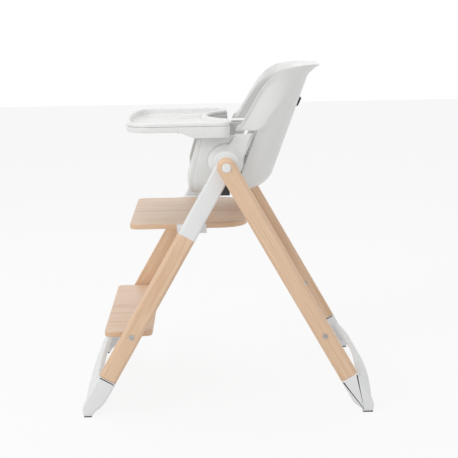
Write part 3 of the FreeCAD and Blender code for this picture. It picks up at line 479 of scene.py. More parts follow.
def webbing(name):
    """Ribbed webbing on its UV map in metres: ribs along it, cross threads, and two stitched lines."""
    tone = linear(bpy.context.scene.chair_colours.webbing)
    n = Nodes(name)
    uv = n.add("SeparateXYZ", Vector=n.add("TexCoord").outputs["UV"])
    along, across = uv.outputs["X"], uv.outputs["Y"]
    ribs = n.math("SINE", n.math("MULTIPLY", across, 3600.0))
    picks = n.math("SINE", n.math("MULTIPLY", along, 4200.0))
    line = n.math("ABSOLUTE", n.math("SUBTRACT", n.math("ABSOLUTE", across), 0.0098))
    dash = n.math("GREATER_THAN", n.math("FRACT", n.math("MULTIPLY", along, 280.0)), 0.35)
    stitch = n.math("MULTIPLY", n.math("LESS_THAN", line, 0.0005), dash)
    body = n.mix(n.ramp(ribs, (0.0, 0.35), (0.9, 0.0)), tone, shade(tone, 0.74))
    body = n.mix(stitch, body, linear((0.93, 0.93, 0.92)))
    n.put(n.shader, "Base Color", body)
    n.put(n.shader, "Roughness", 0.72)
    n.put(n.shader, "Sheen Weight", 0.15)
    height = n.math("ADD", n.math("MULTIPLY", ribs, picks), n.math("MULTIPLY", stitch, 2.0))
    n.relief(height, 0.35, 0.0004)
    return n.material


def metal(name):
    """Zinc-plated steel with fine turning marks and a few duller patches."""
    n = Nodes(name)
    marks = n.noise(n.place(scale=(1, 1, 1)), 900.0, 3.0)
    patches = n.noise(n.place(), 60.0, 2.0)
    grey = n.ramp(patches, (0.3, (0.50, 0.51, 0.52, 1)), (0.7, (0.36, 0.37, 0.38, 1)))
    n.put(n.shader, "Base Color", grey)
    n.put(n.shader, "Metallic", 1.0)
    n.put(n.shader, "Roughness", n.ramp(marks, (0.3, 0.28), (0.7, 0.42)))
    n.relief(marks, 0.06, 0.0002)
    return n.material


def finish(name):
    return bpy.data.materials[name]


# Operators: one for each piece or group of like pieces ----------------------------


class CHAIR_OT_finishes(bpy.types.Operator):
    """Make the finishes and put them on the frame's own nodes"""

    bl_idname = "chair.finishes"
    bl_label = "Finishes"

    def execute(self, context):
        tones = context.scene.chair_colours
        beech("Beech front legs", (-SLOPE["front"], 0, 0))
        beech("Beech rear legs", (SLOPE["rear"], 0, 0))
        plywood("Plywood")
        moulded("Seat plastic", tones.white_plastic, 0.34)
        moulded("Tray plastic", tones.white_plastic, 0.26, 0.02)
        moulded("Leg plastic", tones.leg_plastic, 0.42)
        moulded("Nylon", (0.80, 0.81, 0.80), 0.45)
        moulded("Dark plastic", tones.dark_plastic, 0.48, 0.12, 0.8)
        moulded("Glide rubber", (0.34, 0.34, 0.34), 0.75, 0.2, 0.85)
        cloth("Pad cloth")
        webbing("Webbing")
        metal("Zinc-plated steel")
        worn = {
            "Beech front legs": ("front_leg",), "Beech rear legs": ("rear_leg_left", "rear_leg_right"),
            "Leg plastic": ("pivot_cap", "upper_board_bracket", "front_floor_bar", "rear_floor_bar"),
            "Seat plastic": ("tray_rail", "seat_tub", "back_shell", "side_carrier", "tray_"),
            "Zinc-plated steel": ("pivot_pin", "front_leg_bolts", "rear_leg_bolts"),
            "Nylon": ("pivot_bush",), "Glide rubber": ("front_glide", "rear_glide"),
            "Dark plastic": ("spreader_stop", "harness_anchor", "recline_grip", "buckle"),
        }
        for name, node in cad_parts.items():
            for label, stems in worn.items():
                if name.startswith(stems) and not (label == "Beech front legs" and name.endswith("bolts")):
                    node.data.materials.clear()
                    node.data.materials.append(finish(label))
        return {"FINISHED"}


class CHAIR_OT_feet(bpy.types.Operator):
    """Four moulded feet that carry on the legs' lines and end in flat toes"""

    bl_idname = "chair.feet"
    bl_label = "Feet"

    def execute(self, context):
        edge = sizes().foot_edge / MM
        ground = span("front_glide_left")[1][2]
        for kind, body in (("front", "front_frame"), ("rear", "rear_frame")):
            low, high = span(f"{kind}_foot_left")
            if kind == "front":
                a, b = leg_point(kind, LEG_END + 46, HALF_LEG), leg_point(kind, LEG_END + 72, HALF_LEG - 3)
                corners = [leg_point(kind, LEG_END, -HALF_LEG), leg_point(kind, LEG_END, HALF_LEG), a, b,
                           b + (-15, -10), (b[0] - 25, ground), (b[0] - 46, ground), (b[0] - 50, ground + 20)]
                radii = [0.4, 0.4, 10, 8, 6, 3, 7, 22]
            else:
                a = leg_point(kind, LEG_END + 66, -HALF_LEG)
                corners = [leg_point(kind, LEG_END, HALF_LEG), leg_point(kind, LEG_END, -HALF_LEG), a,
                           (a[0] + 21, ground + 7), (a[0] + 23, ground), (a[0] + 50, ground),
                           (a[0] + 52, ground + 22)]
                radii = [0.4, 0.4, 8, 4, 3, 7, 22]
            outline = evenly(rounded(corners, radii), 1.6)
            points, faces = slab(outline, low[0], high[0], edge, on_side)
            for side, sign in SIDES:
                placed = points if sign > 0 else mirrored(points)
                piece(f"foot_{kind}_{side}", placed, faces, body, [f"{kind}_foot_{side}"],
                      finish("Leg plastic"), "white_plastic")
        return {"FINISHED"}


class CHAIR_OT_arms(bpy.types.Operator):
    """The two upper arms: a round hub, then a beam that steps outwards to the wooden leg"""

    bl_idname = "chair.arms"
    bl_label = "Upper arms"

    def execute(self, context):
        edge = sizes().arm_edge / MM
        low, high = span("front_arm_left")
        inner_x = low[0]
        leg_out = high[0]
        hub_out = inner_x + 28.0
        turn = np.linspace(-math.pi / 2, 0.0, 14)
        along = np.concatenate([HALF_LEG * np.sin(turn), np.linspace(6, ARM_END, 40)])
        half = HALF_LEG * np.sqrt(np.clip(1 - (np.minimum(along, 0) / HALF_LEG) ** 2, 0.0004, 1))
        step = ease((along - ARM_STRAIGHT + 14) / (ARM_END - ARM_STRAIGHT))
        out = hub_out + (leg_out - hub_out) * step
        inside = inner_x + (leg_out - 30.0 - inner_x) * step
        radius = np.minimum(edge, half * 0.9)[:, None]
        angle = np.linspace(0, math.pi / 2, 6)
        cos, sin = np.cos(angle), np.sin(angle)
        corner = [(1, 1, cos, sin), (-1, 1, -sin, cos), (-1, -1, -cos, -sin), (1, -1, sin, -cos)]
        middle, deep = ((out + inside) / 2)[:, None], ((out - inside) / 2)[:, None]
        across = [sy * (half[:, None] - radius) + radius * dy for sx, sy, dx, dy in corner]
        x = [middle + sx * (deep - radius) + radius * dx for sx, sy, dx, dy in corner]
        across, x = np.concatenate(across, 1), np.concatenate(x, 1)
        side = leg_point("front", np.broadcast_to(along[:, None], across.shape), across)
        points = np.concatenate([x[..., None], side], -1)
        rows, columns = points.shape[:2]
        faces = grid_faces(rows, columns, wrap_columns=True).tolist()
        faces += [list(range(columns)), list(range((rows - 1) * columns, rows * columns))]
        points = points.reshape(-1, 3)
        for name, sign in SIDES:
            placed = points if sign > 0 else mirrored(points)
            piece(f"upper_arm_{name}", placed, faces, "front_frame", [f"front_arm_{name}"],
                  finish("Leg plastic"), "white_plastic")
        return {"FINISHED"}


class CHAIR_OT_boards(bpy.types.Operator):
    """The plywood seat step and foot board, with rounded corners and softened edges"""

    bl_idname = "chair.boards"
    bl_label = "Plywood boards"

    def execute(self, context):
        edge = sizes().board_edge / MM
        for node, front, back in (("upper_board", 24.0, 84.0), ("lower_board", 18.0, 18.0)):
            low, high = span(node)
            corners = [(low[0], low[1]), (high[0], low[1]), (high[0], high[1]), (low[0], high[1])]
            outline = evenly(rounded(corners, [front, front, back, back], 24), 3.0)
            points, faces = slab(outline, low[2], high[2], edge, on_plan)
            piece(f"{node}_plywood", points, faces, "front_frame", [node], finish("Plywood"),
                  "plywood")
        return {"FINISHED"}


TUB_HEIGHTS = np.array([556.0, 564.0, 590.0, 706.0])
TUB_FRONT = np.array([-84.0, -96.0, -98.0, -70.0])
TUB_REAR_HEIGHTS = np.array([556.0, 628.0, 706.0])
TUB_REAR = np.array([26.0, 40.0, 73.0])


def channel(half, floor, top, corner, sides, bends, floors):
    """A U of X, Z: down one side, round a quarter circle, across, round another and up."""
    z = np.linspace(top, floor + corner, sides)
    a = np.linspace(0, math.pi / 2, bends)[1:-1]
    x = np.linspace(half - corner, 0, floors)
    right_x = np.concatenate([np.full(sides, half), half - corner + corner * np.cos(a), x])
    right_z = np.concatenate([z, floor + corner - corner * np.sin(a), np.full(floors, floor)])
    return (np.concatenate([right_x, -right_x[-2::-1]]), np.concatenate([right_z, right_z[-2::-1]]))


class CHAIR_OT_tub(bpy.types.Operator):
    """The seat's tub: a channel with a raked front, rounded edges and a fine line behind its front"""

    bl_idname = "chair.tub"
    bl_label = "Seat tub"

    def execute(self, context):
        edge = sizes().rim_edge / MM
        low, high = span("seat_tub")
        out_x, out_z = channel(high[0], low[2], high[2] - edge, 32.0, 16, 12, 14)
        in_x, in_z = channel(high[0] - 16.0, low[2] + 44.0, high[2] - edge, 14.0, 16, 12, 14)
        front = np.interp(out_z, TUB_HEIGHTS, TUB_FRONT) + edge
        rear = np.interp(out_z, TUB_REAR_HEIGHTS, TUB_REAR) - edge
        depth = np.array([0, 2, 4, 4.6, 5.2, 5.8, 6.4, 7.0, 7.6, 9, 12, 18,
                          26, 36, 48, 60, 72, 84, 96, 110.0])
        share = np.clip((depth / 110.0)[:, None], 0, 1)
        y = front + np.where(share < 0.3, depth[:, None], share * (rear - front))
        groove = 1.3 * np.exp(-((depth - 5.8) / 0.8) ** 2)[:, None]
        normal_x = np.where(np.abs(out_x) > high[0] - 32.0, np.sign(out_x), 0.0)
        shape = y.shape
        outer = np.stack([np.broadcast_to(out_x, shape) - groove * normal_x, y,
                          np.broadcast_to(out_z, shape)], -1)
        inner = np.stack([np.broadcast_to(in_x, shape), y, np.broadcast_to(in_z, shape)], -1)
        faces = grid_faces(*shape)[:, ::-1]
        points, made = closed_shell(outer.reshape(-1, 3), inner.reshape(-1, 3), faces, edge)
        piece("seat_tub_moulding", points, made, "seat", ["seat_tub"], finish("Seat plastic"),
              "white_plastic", angle=50)
        return {"FINISHED"}


# The back shell: (s, h) are the length round the plan from the back's middle, and a height

RIM_AHEAD = np.array([-152.0, -150.1, -134.3, -128.1, -121.7, -112.4, -97.7, -78.3, -51.3, -21.1, 0.0])
RIM_HEIGHT = np.array([727.0, 728.0, 742.0, 768.0, 799.0, 833.0, 858.0, 873.0, 880.0, 882.5, 883.0])
ARC_END = SHELL_HALF - SHELL_CORNER + SHELL_CORNER * math.pi / 2


def plan_place(s):
    """X, distance ahead of the back (negative) and outward normal of the U-shaped plan at length s."""
    sign, far = np.sign(s), np.abs(s)
    flat = SHELL_HALF - SHELL_CORNER
    angle = np.clip((far - flat) / SHELL_CORNER, 0, math.pi / 2)
    x = sign * (np.minimum(far, flat) + SHELL_CORNER * np.sin(angle))
    ahead = -SHELL_CORNER * (1 - np.cos(angle)) - np.maximum(far - ARC_END, 0)
    return x, ahead, sign * np.sin(angle), np.cos(angle)


def rim_height(s):
    return np.interp(plan_place(s)[1], RIM_AHEAD, RIM_HEIGHT)


def bucket(s, h, inset):
    """The shell's surface, moved inwards: the plan carried up the lean, and turned in below.

    Below the fillet's start the height is an arc length: inwards R(1-cos), down R sin.
    Towards the rim the wall rolls outwards, most behind, and the wings flare over the seat.
    """
    x, ahead, nx, ny = plan_place(s)
    turn = np.clip((600.0 - h) / FILLET, 0, 1.45)
    radius = FILLET - inset
    drawn_in = inset + np.where(turn > 0, radius * (1 - np.cos(turn)), 0.0)
    z = np.where(turn > 0, 600.0 - radius * np.sin(turn), h)
    y = BACK_FOOT[0] + (z - BACK_FOOT[1]) * math.tan(LEAN) + ahead
    below = np.maximum(rim_height(s) - h, 0.0)
    roll = (1 - ease(below / 40.0)) ** 1.4
    behind = 1 - ease((np.abs(s) - 50.0) / 150.0)
    lip = (sizes().back_lip / MM) * (0.22 + 0.78 * behind) * roll
    crease = np.interp(z, [700, 715, 728, 758, 783, 812], [80, 92, 112, 131, 151, 170])
    ahead_of_crease = ease((crease - y + 4) / 16.0) * ease((z - 700.0) / 6.0)
    flare = (sizes().wing_flare / MM) * ahead_of_crease * (1 - ease((z - 725.0) / 110.0))
    x = x + nx * (lip - drawn_in) + np.sign(x) * flare * np.abs(nx)
    y = y + ny * (lip - drawn_in)
    return np.stack([x, y, z], -1)


class CHAIR_OT_back(bpy.types.Operator):
    """The back shell with its wings, rolled lip and turned-in foot, and the plate that closes it"""

    bl_idname = "chair.back"
    bl_label = "Back shell"

    def execute(self, context):
        edge = sizes().rim_edge / MM
        half = np.concatenate([np.linspace(0, 60, 7)[:-1], np.linspace(60, 199, 34)[:-1],
                               np.linspace(199, 257, 15)])
        s = np.concatenate([-half[:0:-1], half])
        tail = np.abs(s) <= 199.001
        wall_edge = 718.0
        heights = np.concatenate([np.linspace(541, 600, 14)[:-1], np.linspace(600, wall_edge, 22)])
        low_s, low_h = np.meshgrid(s[tail], heights)
        top = rim_height(s) - edge
        share = 1 - (1 - np.linspace(0, 1, 40)) ** 1.35
        high_h = wall_edge + (top[None] - wall_edge) * share[:, None]
        high_s = np.broadcast_to(s, high_h.shape)
        parts = []
        for inset in (0.0, SHELL_WALL):
            low = bucket(low_s, low_h, inset).reshape(-1, 3)
            high = bucket(high_s, high_h, inset).reshape(-1, 3)
            parts.append(np.concatenate([low, high]))
        rows, columns = low_s.shape
        low_index = np.arange(rows * columns).reshape(rows, columns)
        high_faces = grid_faces(*high_h.shape) + rows * columns
        # the upper part's first row is the lower part's last one where both exist
        shared = np.arange(2 * len(parts[0]))
        shared[rows * columns + np.flatnonzero(tail)] = low_index[-1]
        faces = shared[np.concatenate([grid_faces(rows, columns), high_faces])][:, ::-1]
        points, made = closed_shell(parts[0], parts[1], faces, edge)
        floor_s = np.concatenate([s[tail]])
        ring = bucket(floor_s, np.full(floor_s.shape, 541.0), 0.0)
        plate = np.concatenate([ring[:, :2], [[ring[-1, 0], 20.0], [ring[0, 0], 20.0]]])
        plate = soften(plate, 4.0, 3.0)
        low_z = span("back_shell")[0][2]
        under = slab(plate, low_z + 2.5, low_z + 18.0, 2.0, on_plan)
        points, made = joined((points, made), under)
        piece("back_shell_moulding", points, made, "seat", ["back_shell"], finish("Seat plastic"),
              "white_plastic", angle=60)
        return {"FINISHED"}


class CHAIR_OT_carriers(bpy.types.Operator):
    """The plates that carry the seat, each with a round boss on its hub"""

    bl_idname = "chair.carriers"
    bl_label = "Side carriers"

    def execute(self, context):
        edge = sizes().carrier_edge / MM
        low, high = span("side_carrier_left")
        corners = [(24, 711), (72, 711), (57, 677), (45, 650), (39, 622), (10, 600), (-22, 606), (-34, 640),
                   (-15, 660), (-3, 667), (11, 687)]
        outline = evenly(rounded(corners, [3, 4, 22, 22, 18, 20, 20, 20, 14, 14, 22]), 2.0)
        plate = slab(outline, low[0], low[0] + 9.0, edge, on_side)
        boss = lathe([(0, 1), (46, 1), (46, 3), (44, 8), (40, 13), (36, 17), (34, 21), (34, high[0] - low[0] - 4),
                      (33, high[0] - low[0] - 1.2), (30, high[0] - low[0]), (0, high[0] - low[0])],
                     (low[0], PIVOT[1], PIVOT[2]), 64)
        points, faces = joined(plate, boss)
        for name, sign in SIDES:
            placed = points if sign > 0 else mirrored(points)
            piece(f"side_carrier_{name}_moulding", placed, faces, "seat", [f"side_carrier_{name}"],
                  finish("Seat plastic"), "white_plastic")
        return {"FINISHED"}


def tray_outline():
    """The tray's plan: a bowed front, round corners and a bay for the child, softened all round."""
    low, high = span("tray_base")
    half, front, back = high[0], low[1], high[1]
    bow = np.linspace(-150, 150, 61)
    turn = np.linspace(-math.pi / 2, 0, 20)
    rear = np.linspace(0, math.pi / 2, 10)
    bay = np.linspace(118, -118, 60)
    reach = (118.0 ** 2 + 56.0 ** 2) / (2 * 56.0)
    right = np.concatenate([
        np.stack([bow[bow >= 0], front + 12.0 * (bow[bow >= 0] / 150.0) ** 2], -1),
        np.stack([150 + (half - 150) * np.cos(turn), front + 74 + 62 * np.sin(turn)], -1),
        np.stack([half - 24 + 24 * np.cos(rear), back - 24 + 24 * np.sin(rear)], -1)])
    middle = np.stack([bay, back - 56 + reach - np.sqrt(reach ** 2 - bay ** 2)], -1)
    left = right[::-1] * np.array([-1.0, 1.0])
    return soften(np.concatenate([right, middle, left]), 3.0, 4.5)


def carried_tray(profile, deep=None):
    """A profile of (inset, height) carried round the tray's plan; its ends meet on a line inside.

    A point is outline - inset * normal. An inset of None lies on the line inside.
    """
    outline = tray_outline()
    normal = outward(outline)
    spine = np.stack([np.clip(outline[:, 0] * 0.66, -128, 128), np.full(len(outline), -122.0)], -1)
    rows = []
    for inset, height in profile:
        place = spine if inset is None else outline - normal * inset
        level = np.full(len(outline), float(height))
        if deep is not None:
            level = np.where(level < 722.001, level - deep(outline[:, 1]), level)
        rows.append(np.concatenate([place, level[:, None]], 1))
    points = np.stack(rows)
    return points.reshape(-1, 3), grid_faces(points.shape[0], points.shape[1], wrap_columns=True).tolist()


class CHAIR_OT_tray(bpy.types.Operator):
    """The tray: a base with a skirt that is deeper over the seat, and a lift-out basin on top"""

    bl_idname = "chair.tray"
    bl_label = "Tray"

    def execute(self, context):
        top = span("tray_insert")[1][2]
        rim = [(None, 727.0), (27, 727.0), (22.5, 727.5), (19.5, 728.8), (17.5, 731.4), (16, 735), (14.6, 739.5),
               (13, 742.6), (10.8, 744.6), (8.2, top), (5.6, top - 0.5), (3.4, top - 1.7), (1.7, top - 3.6),
               (0.8, top - 6.0), (0.5, top - 8.2), (0.7, top - 9.3), (1.6, 735.2), (12, 735.2), (14, 731),
               (17, 726), (21, 724.6), (None, 724.6)]
        points, faces = carried_tray(rim)
        piece("tray_insert_basin", points, faces, "tray", ["tray_insert"], finish("Tray plastic"),
              "white_plastic", angle=60)
        skirt = [(None, 724.2), (13, 724.2), (12.2, 729), (12, 733.4), (11, 734.6), (3, 734.8), (1.2, 734.4),
                 (0.3, 733.6), (0.0, 732.0), (0.0, 728.0), (0.0, 724.0), (0.15, 722.0), (0.5, 721.2),
                 (1.5, 720.7), (2.5, 721.2), (3.0, 722.0), (3.1, 723.0), (4.2, 723.4), (None, 723.4)]
        points, faces = carried_tray(
            skirt, lambda y: 15.0 * ease((y + 120.0) / 46.0))
        piece("tray_base_skirt", points, faces, "tray", ["tray_base"], finish("Tray plastic"),
              "white_plastic", angle=60)
        return {"FINISHED"}


class CHAIR_OT_latch(bpy.types.Operator):
    """The hooked paddle under the tray's front"""

    bl_idname = "chair.latch"
    bl_label = "Tray latch"

    def execute(self, context):
        low, high = span("tray_latch")
        outline = soften([(-124, 720.4), (-127, 702), (-124, 698.5), (-120, 700), (-116, 708), (-106, 712),
                          (-99, 709), (-93, 700), (-89, 691), (-83.5, 691), (-85, 704), (-90, 714), (-97, 720.4)],
                         1.2, 1.2)
        points, faces = slab(outline, low[0], high[0], 1.8, on_side)
        piece("tray_latch_paddle", points, faces, "tray_latch", ["tray_latch"], finish("Tray plastic"),
              "white_plastic")
        return {"FINISHED"}


# Pads and harness ---------------------------------------------------------------


def swell(made, held, cap):
    """Blow a closed cloth up for a few frames, hold some points, and cap how far the rest may go."""
    mesh = made.data
    count = len(mesh.vertices)
    before = np.zeros(count * 3)
    mesh.vertices.foreach_get("co", before)
    before = before.reshape(-1, 3)
    group = made.vertex_groups.new(name="held")
    group.add(np.flatnonzero(held(before / MM)).tolist(), 1.0, "REPLACE")
    cloth_mod = made.modifiers.new("swell", "CLOTH")
    settings = cloth_mod.settings
    settings.quality = 6
    settings.mass = 0.3
    settings.tension_stiffness = settings.compression_stiffness = 18
    settings.shear_stiffness = 8
    settings.bending_stiffness = 1.5
    settings.use_pressure = True
    settings.uniform_pressure_force = 4.0
    settings.effector_weights.gravity = 0.0
    settings.vertex_group_mass = "held"
    cloth_mod.collision_settings.use_collision = False
    for number in range(1, 21):
        bpy.context.scene.frame_set(number)
    shown = made.evaluated_get(bpy.context.evaluated_depsgraph_get())
    after = np.zeros(count * 3)
    shown.data.vertices.foreach_get("co", after)
    made.modifiers.remove(cloth_mod)
    bpy.context.scene.frame_set(1)
    moved = after.reshape(-1, 3) - before
    far = np.linalg.norm(moved, axis=1, keepdims=True)
    moved *= np.minimum(1.0, cap / np.maximum(far, 1e-9))
    mesh.vertices.foreach_set("co", (before + moved).ravel())
    mesh.update()


def press_seams(made, depth):
    """Sink points along their normals by the depth that a function of their places in mm gives."""
    mesh = made.data
    count = len(mesh.vertices)
    place, normal = np.zeros(count * 3), np.zeros(count * 3)
    mesh.vertices.foreach_get("co", place)
    mesh.vertex_normals.foreach_get("vector", normal)
    place, normal = place.reshape(-1, 3), normal.reshape(-1, 3)
    mesh.vertices.foreach_set("co", (place - normal * depth(place / MM, normal)[:, None] * MM).ravel())
    mesh.update()


def finish_pad(made, held, depth):
    swell(made, held, sizes().pad_swell)
    press_seams(made, depth)
    smooth = made.modifiers.new("rounding", "SUBSURF")
    smooth.levels = smooth.render_levels = 1
    made.data.shade_smooth()


class CHAIR_OT_pads(bpy.types.Operator):
    """The back pad, with sewn bolsters on its wings, and the seat pad"""

    bl_idname = "chair.pads"
    bl_label = "Pads"

    def execute(self, context):
        h = np.linspace(652.0, 858.0, 44)
        reach = np.interp(h, [640, 716, 760, 796, 820, 845, 860], [186, 190, 200, 204, 198, 176, 150])
        across = np.linspace(-1, 1, 81)
        s, hh = across[None] * reach[:, None], np.broadcast_to(h[:, None], (len(h), len(across)))
        rise = (hh - h[0]) / (h[-1] - h[0])
        crown = (1 - np.abs(across[None]) ** 8) * (1 - np.abs(2 * rise - 1) ** 8)
        behind = bucket(s, hh, SHELL_WALL + 1.0).reshape(-1, 3)
        before = bucket(s, hh, 0.0 + SHELL_WALL + 5.0 + 9.0 * crown).reshape(-1, 3)
        faces = grid_faces(*s.shape)
        points, made = closed_shell(before, behind, faces, 4.0)
        flat = np.stack([s, hh], -1).reshape(-1, 2) * MM
        uv = np.tile(flat, (len(points) // len(flat), 1))
        pad = piece("back_pad_cover", points, made, "seat", ["back_pad"], finish("Pad cloth"),
                    "pad_cover", uv)
        deep = sizes().seam_depth / MM

        def lean_gap(p):
            """How far a point is ahead of the shell's back."""
            return BACK_FOOT[0] + (p[:, 2] - BACK_FOOT[1]) * math.tan(LEAN) - p[:, 1]

        def held(p):
            return lean_gap(p) < SHELL_WALL + 2.5

        def seams(p, normal):
            face = normal[:, 1] < -0.2
            bolsters = np.exp(-((np.abs(p[:, 0]) - 62.0) / 3.0) ** 2)
            rows = np.exp(-((p[:, 2] - 716.0) / 3.0) ** 2) + np.exp(-((p[:, 2] - 790.0) / 3.0) ** 2)
            rows *= np.abs(p[:, 0]) < 62.0
            return deep * np.clip(bolsters + rows, 0, 1) * face

        finish_pad(pad, held, seams)
        low, high = span("seat_pad")
        t, u = np.linspace(-1, 1, 49), np.linspace(0, 1, 33)
        half = high[0] - 4.0
        x = np.broadcast_to(t[None] * half, (len(u), len(t)))
        y = low[1] + 4 + (high[1] - low[1] - 12) * u[:, None] + 10.0 * (1 - u[:, None]) * np.abs(t[None]) ** 3
        y = y - 46.0 * ease((np.abs(t[None]) - 0.45) / 0.55) * u[:, None]
        crown = (1 - np.abs(t[None]) ** 6) * (1 - np.abs(2 * u[:, None] - 1) ** 6)
        base = low[2] + 0.6
        below = np.stack([x, y, np.full(x.shape, base)], -1).reshape(-1, 3)
        above = np.stack([x, y, base + 6.0 + 6.0 * crown], -1).reshape(-1, 3)
        points, made = closed_shell(above, below, grid_faces(*x.shape)[:, ::-1], 3.0)
        flat = np.stack([x, y], -1).reshape(-1, 2) * MM
        uv = np.tile(flat, (len(points) // len(flat), 1))
        pad = piece("seat_pad_cover", points, made, "seat", ["seat_pad"], finish("Pad cloth"),
                    "pad_cover", uv)

        def seat_held(p):
            return p[:, 2] < base + 1.5

        def seat_seams(p, normal):
            lines = np.exp(-((np.abs(p[:, 0]) - 58.0) / 3.0) ** 2) + np.exp(-((p[:, 1] + 44.0) / 3.0) ** 2)
            return deep * np.clip(lines, 0, 1) * (normal[:, 2] > 0.3)

        finish_pad(pad, seat_held, seat_seams)
        return {"FINISHED"}


def ribbon(path, wide, thick, across):
    """A flat strap: a path resampled and softened, with a rounded section 'wide' along 'across'."""
    path = np.array(path, float)
    run = np.concatenate([[0], np.cumsum(np.linalg.norm(np.diff(path, axis=0), axis=1))])
    at = np.linspace(0, run[-1], max(12, int(run[-1] / 3.0)))
    line = np.stack([np.interp(at, run, path[:, k]) for k in range(3)], -1)
    kernel = np.exp(-(np.arange(-5, 6) / 2.5) ** 2)
    kernel /= kernel.sum()
    padded = np.concatenate([np.repeat(line[:1], 5, 0), line, np.repeat(line[-1:], 5, 0)])
    line = np.stack([np.convolve(padded[:, k], kernel, "valid") for k in range(3)], -1)
    tangent = np.gradient(line, axis=0)
    tangent /= np.linalg.norm(tangent, axis=1, keepdims=True)
    across = np.array(across, float)
    across = across - tangent * (tangent @ across)[:, None]
    across /= np.linalg.norm(across, axis=1, keepdims=True)
    up = np.cross(tangent, across)
    a = np.concatenate([np.linspace(-1, 1, 13), np.linspace(1, -1, 13)]) * wide / 2
    b = np.concatenate([np.ones(13), -np.ones(13)]) * thick / 2
    b[[0, 12, 13, 25]] *= 0.35
    points = line[:, None] + across[:, None] * a[None, :, None] + up[:, None] * b[None, :, None]
    rows, columns = points.shape[:2]
    faces = grid_faces(rows, columns, wrap_columns=True).tolist()
    faces += [list(range(columns))[::-1], list(range((rows - 1) * columns, rows * columns))]
    uv = np.stack([np.broadcast_to(at[:, None], (rows, columns)), np.broadcast_to(a, (rows, columns))], -1)
    return points.reshape(-1, 3), faces, uv.reshape(-1, 2) * MM


class CHAIR_OT_harness(bpy.types.Operator):
    """Five webbing straps and the buckle that takes them"""

    bl_idname = "chair.harness"
    bl_label = "Harness"

    def execute(self, context):
        thick = 1.8
        for side, sign in SIDES:
            low, high = span(f"shoulder_strap_{side}")
            middle = (low[0] + high[0]) / 2
            heights = np.array([782.0, 772.0, 740.0, 705.0, 675.0])
            gap = np.array([12.0, 28.5, 30.5, 30.5, 33.0]) + SHELL_WALL - 8.0
            y = BACK_FOOT[0] + (heights - BACK_FOOT[1]) * math.tan(LEAN) - gap
            path = [(middle, a, b) for a, b in zip(y, heights)]
            path += [(middle * 0.8, 75.0, 660.0), (sign * 25.0, 62.0, 653.0), (sign * 17.0, 56.0, 650.0)]
            points, faces, uv = ribbon(path, high[0] - low[0], thick, (1, 0, 0))
            piece(f"shoulder_webbing_{side}", points, faces, "seat", [f"shoulder_strap_{side}"],
                  finish("Webbing"), "webbing", uv)
            low, high = span(f"waist_strap_{side}")
            z = (low[2] + high[2]) / 2
            path = [(sign * 140.0, 35.0, z), (sign * 118.0, 38.0, z), (sign * 92.0, 44.0, z - 3),
                    (sign * 60.0, 50.0, z - 2), (sign * 20.0, 50.5, z)]
            points, faces, uv = ribbon(path, high[2] - low[2], thick, (0, 0, 1))
            piece(f"waist_webbing_{side}", points, faces, "seat", [f"waist_strap_{side}"],
                  finish("Webbing"), "webbing", uv)
        low, high = span("crotch_strap")
        z = low[2] + 3.0
        path = [(0, -46.0, z - 4), (0, -38.0, z), (0, -10.0, z + 1), (0, 22.0, z + 3.5),
                (0, 40.0, z + 9), (0, 50.0, z + 14)]
        points, faces, uv = ribbon(path, high[0] - low[0], thick, (1, 0, 0))
        piece("crotch_webbing", points, faces, "seat", ["crotch_strap"], finish("Webbing"),
              "webbing", uv)
        low, high = span("buckle")
        corners = [(low[0], low[2]), (high[0], low[2]), (high[0] - 2, high[2]), (low[0] + 2, high[2])]
        outline = evenly(rounded(corners, [14, 14, 9, 9], 12), 1.5)
        body = slab(outline, low[1], high[1], 3.0, lambda a, b, level: np.stack([a, level, b], -1))
        ring = lathe([(9.6, 1), (9.8, -0.6), (10.6, -1.2), (11.8, -1.0), (12.4, 1)], (0, low[1], 648.0), 48, "y")
        points, faces = joined(body, ring)
        piece("buckle_housing", points, faces, "seat", ["buckle"], finish("Dark plastic"),
              "dark_plastic")
        button = lathe([(0, -1.9), (4, -1.7), (7, -1.2), (8.4, -0.6), (8.9, 0.4), (8.9, 3), (0, 3)],
                       (0, low[1], 648.0), 40, "y")
        piece("buckle_press_button", *button, "buckle_button", ["buckle_button"],
              finish("Nylon"), "dark_plastic")
        return {"FINISHED"}


